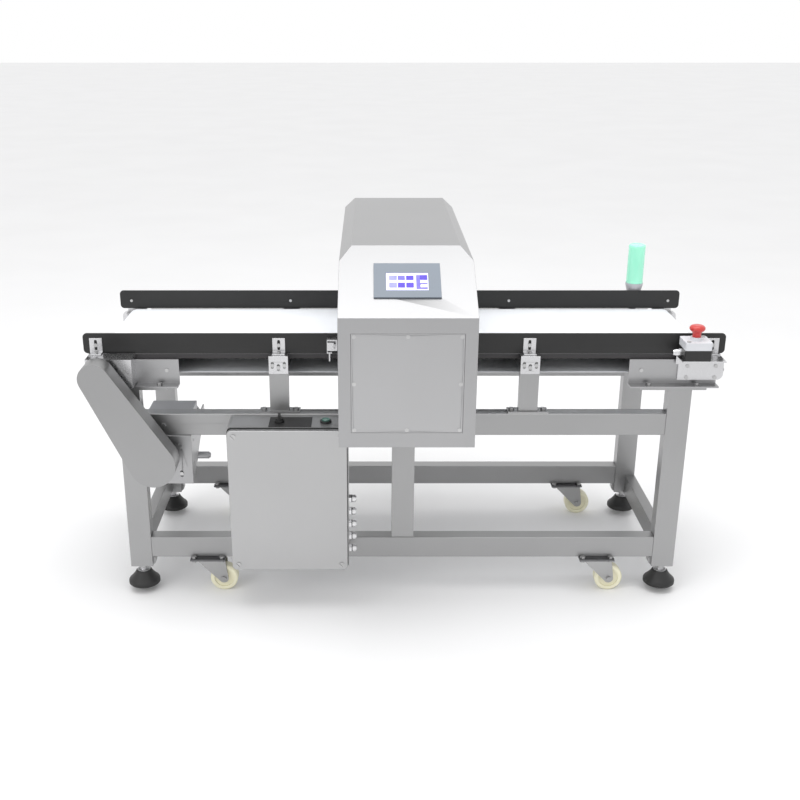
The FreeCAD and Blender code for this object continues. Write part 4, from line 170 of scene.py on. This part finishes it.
GREY = (0.40, 0.40, 0.405)
ALONG_X, ALONG_Y, ALONG_Z = (3, 90, 90), (90, 3, 90), (90, 90, 3)   # stretch of the brushed grain
TUBE_X = metal("tube_along_x", (0.36, 0.36, 0.362), grain=ALONG_X)
# side beams: the same steel as the other tubes, given a darker base colour as painted shade
TUBE_Y_SHADED = metal("tube_along_y_shaded", (0.30, 0.30, 0.302), grain=ALONG_Y)
TUBE_Z = metal("tube_along_z", (0.37, 0.37, 0.372), grain=ALONG_Z)
SHEET = metal("head_sheet", GREY, rough=0.36, grain=(80, 80, 5), spread=0.03)
PANEL = metal("panel_sheet", (0.44, 0.44, 0.445), rough=0.33, grain=(5, 80, 80), spread=0.03)
DOOR = metal("door_sheet", (0.46, 0.46, 0.462), rough=0.4, grain=(80, 80, 5), spread=0.03)
GUARD = metal("guard_sheet", (0.34, 0.34, 0.342), rough=0.36, grain=(60, 60, 8))
BRIGHT = metal("bright_steel", (0.62, 0.62, 0.63), rough=0.26, grain=(50, 50, 50), spread=0.08)
ZINC = metal("zinc_steel", (0.42, 0.42, 0.42), rough=0.32, grain=(50, 50, 50), spread=0.12)
SCREW = metal("screw_steel", (0.5, 0.5, 0.5), rough=0.3, grain=(50, 50, 50), spread=0.15)
DARK_STEEL = metal("dark_steel", (0.16, 0.16, 0.165), rough=0.42, grain=(40, 40, 40), spread=0.12)
CHAIN = metal("oiled_steel", (0.16, 0.15, 0.14), rough=0.35, grain=(40, 40, 40), spread=0.2)
CHROME = metal("plated_brass", (0.72, 0.72, 0.73), rough=0.16, grain=(40, 40, 40), spread=0.05,
               bump=0.02)
CASTING = metal("cast_alloy", (0.45, 0.45, 0.46), rough=0.5, grain=(70, 70, 70), spread=0.1, bump=0.12)
BELT = plastic("belt_white", (0.88, 0.90, 0.93), rough=0.42, spread=0.012, grain=700.0, bump=0.05)
BLACK = plastic("black_moulding", (0.012, 0.012, 0.012), rough=0.42, spread=0.25, bump=0.05)
RUBBER = plastic("black_rubber", (0.014, 0.014, 0.014), rough=0.5, spread=0.3, bump=0.12)
BED = plastic("bed_board", (0.028, 0.026, 0.028), rough=0.5, spread=0.2, bump=0.06)
LINER = plastic("white_liner", (0.80, 0.81, 0.83), rough=0.4, spread=0.02)
CREAM = plastic("cream_nylon", (0.80, 0.77, 0.58), rough=0.42, spread=0.05)
RESIN = plastic("cast_resin", (0.06, 0.04, 0.03), rough=0.5)
SLATE = plastic("slate_bezel", (0.19, 0.22, 0.26), rough=0.45, spread=0.03)
PALE = plastic("pale_moulding", (0.62, 0.63, 0.66), rough=0.4, spread=0.03)
WHITE = plastic("white_moulding", (0.82, 0.82, 0.84), rough=0.38, spread=0.02)
RED = plastic("red_moulding", (0.52, 0.03, 0.025), rough=0.3, spread=0.08, coat=0.4)
GREEN = plastic("green_lens", (0.07, 0.17, 0.14), rough=0.22, spread=0.1, coat=0.5)
MINT = plastic("mint_lens", (0.36, 0.86, 0.64), rough=0.2, spread=0.04, coat=0.5, soft=0.35,
               grain=200.0)
SMOKE = plastic("pole_moulding", (0.46, 0.46, 0.49), rough=0.35, spread=0.04, coat=0.2)

# the first key that starts a node's label gives its material
LOOKS = {
    "leg_": TUBE_Z, "lower_beam": TUBE_X, "upper_beam": TUBE_X, "side_beam": TUBE_Y_SHADED,
    "centre_post": TUBE_Z,
    "levelling_foot": RUBBER, "caster_fork": ZINC, "caster_wheel": CREAM, "caster_plates": DARK_STEEL,
    "frame_fasteners": ZINC, "machine_screws": SCREW, "bed_supports": TUBE_Z, "conveyor_bed": BED,
    "end_channels": SHEET, "conveyor_belt": BELT, "drive_roller": BRIGHT, "tail_roller": BRIGHT,
    "bearing_plates": BRIGHT, "guide_rails": BLACK, "rail_brackets": BRIGHT, "bracket_shelves": BRIGHT,
    "chain_guard": GUARD, "motor_sprocket": CHAIN, "drive_chain": CHAIN, "gear_motor": CASTING,
    "motor_bracket": SHEET, "detector_housing": SHEET, "aperture_liner": LINER, "search_coils": RESIN,
    "service_panel": PANEL, "touch_panel": SLATE, "touch_screen": SLATE, "photo_eye": BRIGHT,
    "cabinet_body": DOOR, "cabinet_door": DOOR, "cabinet_gasket": RUBBER, "cable_glands": CHROME,
    "selector_knob": BLACK, "start_button": GREEN, "control_bezels": BLACK, "stop_lid": PALE,
    "stop_base": BLACK, "stop_button": RED, "tower_light_base": SMOKE, "tower_light_lens": MINT,
}


def dress(obj, mat):
    obj.data.materials.clear()
    obj.data.materials.append(mat)


for label, obj in NODES.items():
    key = next(k for k in LOOKS if label.startswith(k))
    dress(obj, LOOKS[key])


# ---------------------------------------------------------------- rounded edges
# width of the bevel in metres, by the start of a node's label
ROUNDINGS = {
    "leg_": 0.0032, "lower_beam": 0.0032, "upper_beam": 0.0032, "side_beam": 0.0032,
    "centre_post": 0.003,
    "bed_supports": 0.0022, "detector_housing": 0.0018, "chain_guard": 0.0022, "cabinet_body": 0.0012,
    "end_channels": 0.001, "bearing_plates": 0.0008, "motor_bracket": 0.001, "rail_brackets": 0.0006,
    "bracket_shelves": 0.0007, "stop_lid": 0.0018, "stop_base": 0.0012, "touch_panel": 0.0006,
    "service_panel": 0.0004, "guide_rails": 0.001, "caster_plates": 0.001, "caster_fork": 0.0007,
    "conveyor_bed": 0.001, "gear_motor": 0.0018, "control_bezels": 0.0004, "photo_eye": 0.0004,
}


WELD_REACH = 0.00002


def weld(obj):
    joined = obj.modifiers.new("joined", "WELD")
    joined.merge_threshold = WELD_REACH


def rounded(obj, width, segments=3, angle=35):
    weld(obj)
    edge = obj.modifiers.new("rounded", "BEVEL")
    edge.width = width
    edge.segments = segments
    edge.limit_method = "ANGLE"
    edge.angle_limit = math.radians(angle)
    edge.use_clamp_overlap = True
    edge.harden_normals = False


for label, obj in NODES.items():
    for key, width in ROUNDINGS.items():
        if label.startswith(key):
            rounded(obj, width)
            break


# ---------------------------------------------------------------- pieces
def piece(name, mesh, mat, body, replaced=()):
    obj = bpy.data.objects.new(name, mesh)
    SCENE.collection.objects.link(obj)
    for one in (mat if isinstance(mat, (list, tuple)) else [mat]):
        obj.data.materials.append(one)
    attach(obj, body)
    if replaced:
        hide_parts(*replaced)
    return obj


def smooth(mesh, angle=32):
    for face in mesh.polygons:
        face.use_smooth = True
    mesh.set_sharp_from_angle(angle=math.radians(angle))


def lathe(name, profile, centre, axis="z", steps=TURNED_STEPS, bands=None):
    """A mesh turned about an axis through the centre, from (radius, height) points."""
    made = bmesh.new()
    rings = []
    for radius, height in profile:
        if radius < NEAR_AXIS:
            rings.append([made.verts.new((0, 0, height))])
            continue
        ring = []
        for i in range(steps):
            a = 2 * math.pi * i / steps
            ring.append(made.verts.new((radius * math.cos(a), radius * math.sin(a), height)))
        rings.append(ring)
    for index in range(len(rings) - 1):
        low, high = rings[index], rings[index + 1]
        for i in range(steps):
            j = (i + 1) % steps
            if len(low) == 1 and len(high) == 1:
                continue
            if len(low) == 1:
                face = made.faces.new((low[0], high[j], high[i]))
            elif len(high) == 1:
                face = made.faces.new((low[i], low[j], high[0]))
            else:
                face = made.faces.new((low[i], low[j], high[j], high[i]))
            face.material_index = bands[index] if bands else 0
    bmesh.ops.recalc_face_normals(made, faces=made.faces)
    turn = {"z": Matrix.Identity(4), "y": Matrix.Rotation(-math.pi / 2, 4, "X"),
            "x": Matrix.Rotation(math.pi / 2, 4, "Y")}[axis]
    made.transform(Matrix.Translation(centre) @ turn)
    mesh = bpy.data.meshes.new(name)
    made.to_mesh(mesh)
    made.free()
    smooth(mesh)
    return mesh


def middle(label):
    low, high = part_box(label)
    return [(a + b) / 2 for a, b in zip(low, high)]


# levelling feet: a rubber bell on a turned steel spindle
BELL = [(0, 0.0015), (0.034, 0.0015), (0.036, 0.0), (0.0405, 0.0), (0.0428, 0.0022), (0.043, 0.005),
        (0.0428, 0.0105), (0.0412, 0.0135), (0.036, 0.018), (0.029, 0.0262), (0.0232, 0.0345),
        (0.0215, 0.0385), (0.0195, 0.04), (0.0178, 0.04)]
NECK = [(0.018, 0.0405), (0.018, 0.0427), (0.0175, 0.043), (0.0098, 0.043), (0.0098, 0.0478),
        (0.0076, 0.048)]
THREAD_START = 0.048
THREAD_PITCH = 0.002
CREST, ROOT, TIP = 0.0079, 0.0072, 0.0064


def foot_profile(top):
    """The bell, the neck and the thread up to the spindle's top."""
    points = BELL + NECK
    z = THREAD_START
    while z + THREAD_PITCH < top - 0.001:
        points = points + [(CREST, z + 0.0007), (CREST, z + 0.0011), (ROOT, z + 0.0018)]
        z += THREAD_PITCH
    return points + [(ROOT, top - 0.0008), (TIP, top), (0, top)]


for end in ("front", "rear"):
    for side in ("left", "right"):
        label = f"levelling_foot_{end}_{side}"
        low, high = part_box(label)
        x, y, _ = middle(label)
        profile = foot_profile(high[2] - low[2])
        rubber_bands = len(BELL) - 1
        bands = [0] * rubber_bands + [1] * (len(profile) - len(BELL))
        mesh = lathe(label + "_turned", profile, (x, y, low[2]), bands=bands)
        piece(label + "_turned", mesh, [RUBBER, BRIGHT], f"foot_{end}_{side}", (label,))

# stop button: a dished mushroom on its stem
STEM_DEPTH = 0.012
MUSHROOM = [(0, -STEM_DEPTH), (0.0108, -STEM_DEPTH), (0.011, -0.0115), (0.011, 0.0085), (0.0122, 0.0118),
            (0.0148, 0.0146), (0.0176, 0.0172), (0.0194, 0.0196), (0.02, 0.0214), (0.0199, 0.0234),
            (0.0191, 0.0256), (0.0172, 0.0279), (0.0144, 0.0297), (0.0108, 0.0308), (0.0075, 0.0309),
            (0.004, 0.0307), (0, 0.0306)]
x, y, _ = middle("stop_button")
low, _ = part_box("stop_button")
mesh = lathe("stop_mushroom", MUSHROOM, (x, y, low[2] + STEM_DEPTH))
piece("stop_mushroom", mesh, RED, "stop_button", ("stop_button",))

# signal light lens: a thick cup with a domed crown
x, y, _ = middle("tower_light_lens")
low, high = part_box("tower_light_lens")
tall = high[2] - low[2]
profile = [(0, 0.0), (0.0246, 0.0), (0.025, 0.0006), (0.025, 0.004), (0.0244, 0.0046),
           (0.0244, tall - 0.010), (0.0248, tall - 0.0094), (0.0248, tall - 0.0065),
           (0.0238, tall - 0.0032), (0.0216, tall - 0.0012), (0.018, tall - 0.0004),
           (0.0162, tall - 0.0006), (0.0158, tall - 0.0016), (0, tall - 0.0012)]
mesh = lathe("signal_lens", profile, (x, y, low[2]))
piece("signal_lens", mesh, MINT, "machine", ("tower_light_lens",))

# start button: a slightly dished face on its stem
x, y, _ = middle("start_button")
low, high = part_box("start_button")
deep = low[2] - high[2]
profile = [(0, deep), (0.006, deep), (0.006, -0.0062), (0.0108, -0.0062), (0.0109, -0.0058),
           (0.0109, -0.001), (0.0101, -0.0002), (0.0094, 0.0), (0.0088, -0.0006), (0, -0.0009)]
mesh = lathe("start_cap", profile, (x, y, high[2]))
piece("start_cap", mesh, GREEN, "start_button", ("start_button",))


def plate(name, corner_a, corner_b, thick, mats, body, matrix=Matrix.Identity(4), radius=0.0):
    """A flat plate with rounded corners, lying in its own XY plane, bottom at z = 0."""
    made = bmesh.new()
    (x0, y0), (x1, y1) = corner_a, corner_b
    points = []
    r = max(radius, 1e-5)
    corners = ((x1 - r, y1 - r, 0), (x0 + r, y1 - r, 90), (x0 + r, y0 + r, 180), (x1 - r, y0 + r, 270))
    for cx, cy, start in corners:
        for k in range(CORNER_STEPS + 1):
            a = math.radians(start + k * 90 / CORNER_STEPS)
            points.append((cx + r * math.cos(a), cy + r * math.sin(a), 0))
    verts = [made.verts.new(p) for p in points]
    face = made.faces.new(verts)
    out = bmesh.ops.extrude_face_region(made, geom=[face])
    moved = [v for v in out["geom"] if isinstance(v, bmesh.types.BMVert)]
    bmesh.ops.translate(made, verts=moved, vec=(0, 0, thick))
    bmesh.ops.recalc_face_normals(made, faces=made.faces)
    made.transform(matrix)
    mesh = bpy.data.meshes.new(name)
    made.to_mesh(mesh)
    made.free()
    smooth(mesh, 40)
    return piece(name, mesh, mats, body)


# touch screen: a lit display with plain tiles
def glow(name, color, strength=0.55, spread=0.12):
    mat, tree, shader = new_material(name)
    flat = coordinates(tree, (1, 1, 1))
    slow = noise(tree, flat, 60.0, detail=2.0)
    stops = [(0.35, tint(color, 1 - spread)), (0.65, tint(color, 1 + spread))]
    shade = shades(tree, slow, stops)
    tree.links.new(shade, shader.inputs["Base Color"])
    tree.links.new(shade, shader.inputs["Emission Color"])
    shader.inputs["Emission Strength"].default_value = strength
    shader.inputs["Roughness"].default_value = 0.25
    return mat


FIELD = glow("screen_field", (0.62, 0.62, 0.95), spread=0.03)
TILE_A = glow("screen_tile_light", (0.22, 0.22, 0.55))
TILE_B = glow("screen_tile_mid", (0.12, 0.10, 0.48))
TILE_C = glow("screen_tile_deep", (0.05, 0.02, 0.42))
BAR = glow("screen_bar", (0.72, 0.72, 0.98), spread=0.03)

SLOPE_RISE, SLOPE_RUN = 0.1233, 0.230       # the head's sloped face
SCREEN_WIDE, SCREEN_HIGH = 0.101, 0.062
GLASS_THICK = 0.002
TILE_THICK = 0.0002
COLUMNS = [(-0.0435, -0.0245), (-0.0225, -0.0055), (-0.0025, 0.0155)]
ROWS = [(0.0055, 0.0215), (-0.0215, -0.0035)]

tilt = math.atan2(SLOPE_RISE, SLOPE_RUN)
normal = Vector((0, -math.sin(tilt), math.cos(tilt)))
centre = Vector(middle("touch_screen"))
ON_SCREEN = Matrix.Translation(centre - normal * GLASS_THICK / 2) @ Matrix.Rotation(tilt, 4, "X")
ABOVE = ON_SCREEN @ Matrix.Translation((0, 0, GLASS_THICK))
ABOVE_COLUMN = ABOVE @ Matrix.Translation((0, 0, TILE_THICK))

glass = plate("screen_glass", (-SCREEN_WIDE / 2, -SCREEN_HIGH / 2), (SCREEN_WIDE / 2, SCREEN_HIGH / 2),
              GLASS_THICK, [FIELD], "machine", ON_SCREEN, 0.001)
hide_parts("touch_screen")
for column, (a, b) in enumerate(COLUMNS):
    for row, (c, d) in enumerate(ROWS):
        depth = column + (1 if row and column else 0)
        shade = (TILE_A, TILE_B, TILE_C)[min(2, depth)]
        plate(f"screen_tile_{column}_{row}", (a, c), (b, d), TILE_THICK, [shade], "machine", ABOVE, 0.0012)
plate("screen_column", (0.0215, -0.0265), (0.0485, 0.0235), TILE_THICK, [TILE_B], "machine", ABOVE, 0.0005)
for name, corner_a, corner_b, shade, radius in (
        ("screen_header", (0.0305, 0.0085), (0.0482, 0.0232), TILE_C, 0.0005),
        ("screen_bar_upper", (0.0315, -0.0050), (0.0482, 0.0045), BAR, 0.001),
        ("screen_bar_lower", (0.0315, -0.0200), (0.0482, -0.0105), BAR, 0.001)):
    plate(name, corner_a, corner_b, TILE_THICK, [shade], "machine", ABOVE_COLUMN, radius)

# black sealing rings on the cable glands, stood off the cabinet's right wall
GLAND_COUNT = 5
GLAND_Y = -0.2955
GLAND_LOW = 0.162
GLAND_PITCH = 0.0365
RING_OFFSET = 0.0081
RING = [(0.0086, -0.0011), (0.0101, -0.0011), (0.0104, -0.0006), (0.0104, 0.0006), (0.0101, 0.0011),
        (0.0086, 0.0011), (0.0086, -0.0011)]
_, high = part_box("cabinet_body")
for number in range(GLAND_COUNT):
    name = f"gland_ring_{number}"
    spot = (high[0] + RING_OFFSET, GLAND_Y, GLAND_LOW + GLAND_PITCH * number)
    piece(name, lathe(name, RING, spot, "x", RING_STEPS), RUBBER, "machine")


# ---------------------------------------------------------------- floor, light and camera
FLOOR_HALF = 30.0           # half the floor's side in metres
CAMERA_DOWN = 21.0405       # degrees below level, as in the photograph


def pale_floor():
    """A wide matt floor at the level of the casters."""
    mat, tree, shader = new_material("pale_floor")
    shader.inputs["Roughness"].default_value = 0.9
    shader.inputs["Specular IOR Level"].default_value = 0.1
    slow = noise(tree, coordinates(tree, (1, 1, 1)), 1.5, detail=2.0)
    tree.links.new(shades(tree, slow, [(0.3, (0.86, 0.86, 0.865)), (0.7, (0.88, 0.88, 0.885))]),
                   shader.inputs["Base Color"])
    mesh = bpy.data.meshes.new("floor")
    made = bmesh.new()
    bmesh.ops.create_grid(made, x_segments=2, y_segments=2, size=FLOOR_HALF)
    made.to_mesh(mesh)
    made.free()
    obj = bpy.data.objects.new("floor", mesh)
    SCENE.collection.objects.link(obj)
    obj.location = (0, 0, CAD_BOX[0][2])
    obj.data.materials.append(mat)


pale_floor()

world = bpy.data.worlds.new("studio")
SCENE.world = world
world.use_nodes = True
background = next(n for n in world.node_tree.nodes if n.type == "BACKGROUND")
background.inputs["Color"].default_value = (1.0, 1.0, 1.0, 1.0)
background.inputs["Strength"].default_value = 1.0


def area(name, place, aim, size, power):
    """A soft rectangular light that points from its place to its aim."""
    light = bpy.data.lights.new(name, "AREA")
    light.shape = "RECTANGLE"
    light.size, light.size_y = size
    light.energy = power
    obj = bpy.data.objects.new(name, light)
    SCENE.collection.objects.link(obj)
    obj.location = place
    obj.rotation_euler = (Vector(aim) - Vector(place)).to_track_quat("-Z", "Y").to_euler()


area("overhead", (0.0, -0.3, 3.4), (0, 0, 0.6), (3.4, 2.4), 55)
area("front_left", (-3.2, -3.4, 2.6), (0, 0, 0.5), (2.0, 2.0), 30)

camera = bpy.data.objects.new("camera", bpy.data.cameras.new("camera"))
SCENE.collection.objects.link(camera)
SCENE.camera = camera
camera.location = (-0.0905, -2.96292, 1.528)
camera.rotation_euler = (math.radians(90 - CAMERA_DOWN), 0, 0)
camera.data.sensor_width = 36.0
camera.data.lens = 49.727
camera.data.shift_x = 0.03827
camera.data.shift_y = 0.0375
SCENE.view_settings.view_transform = "Standard"
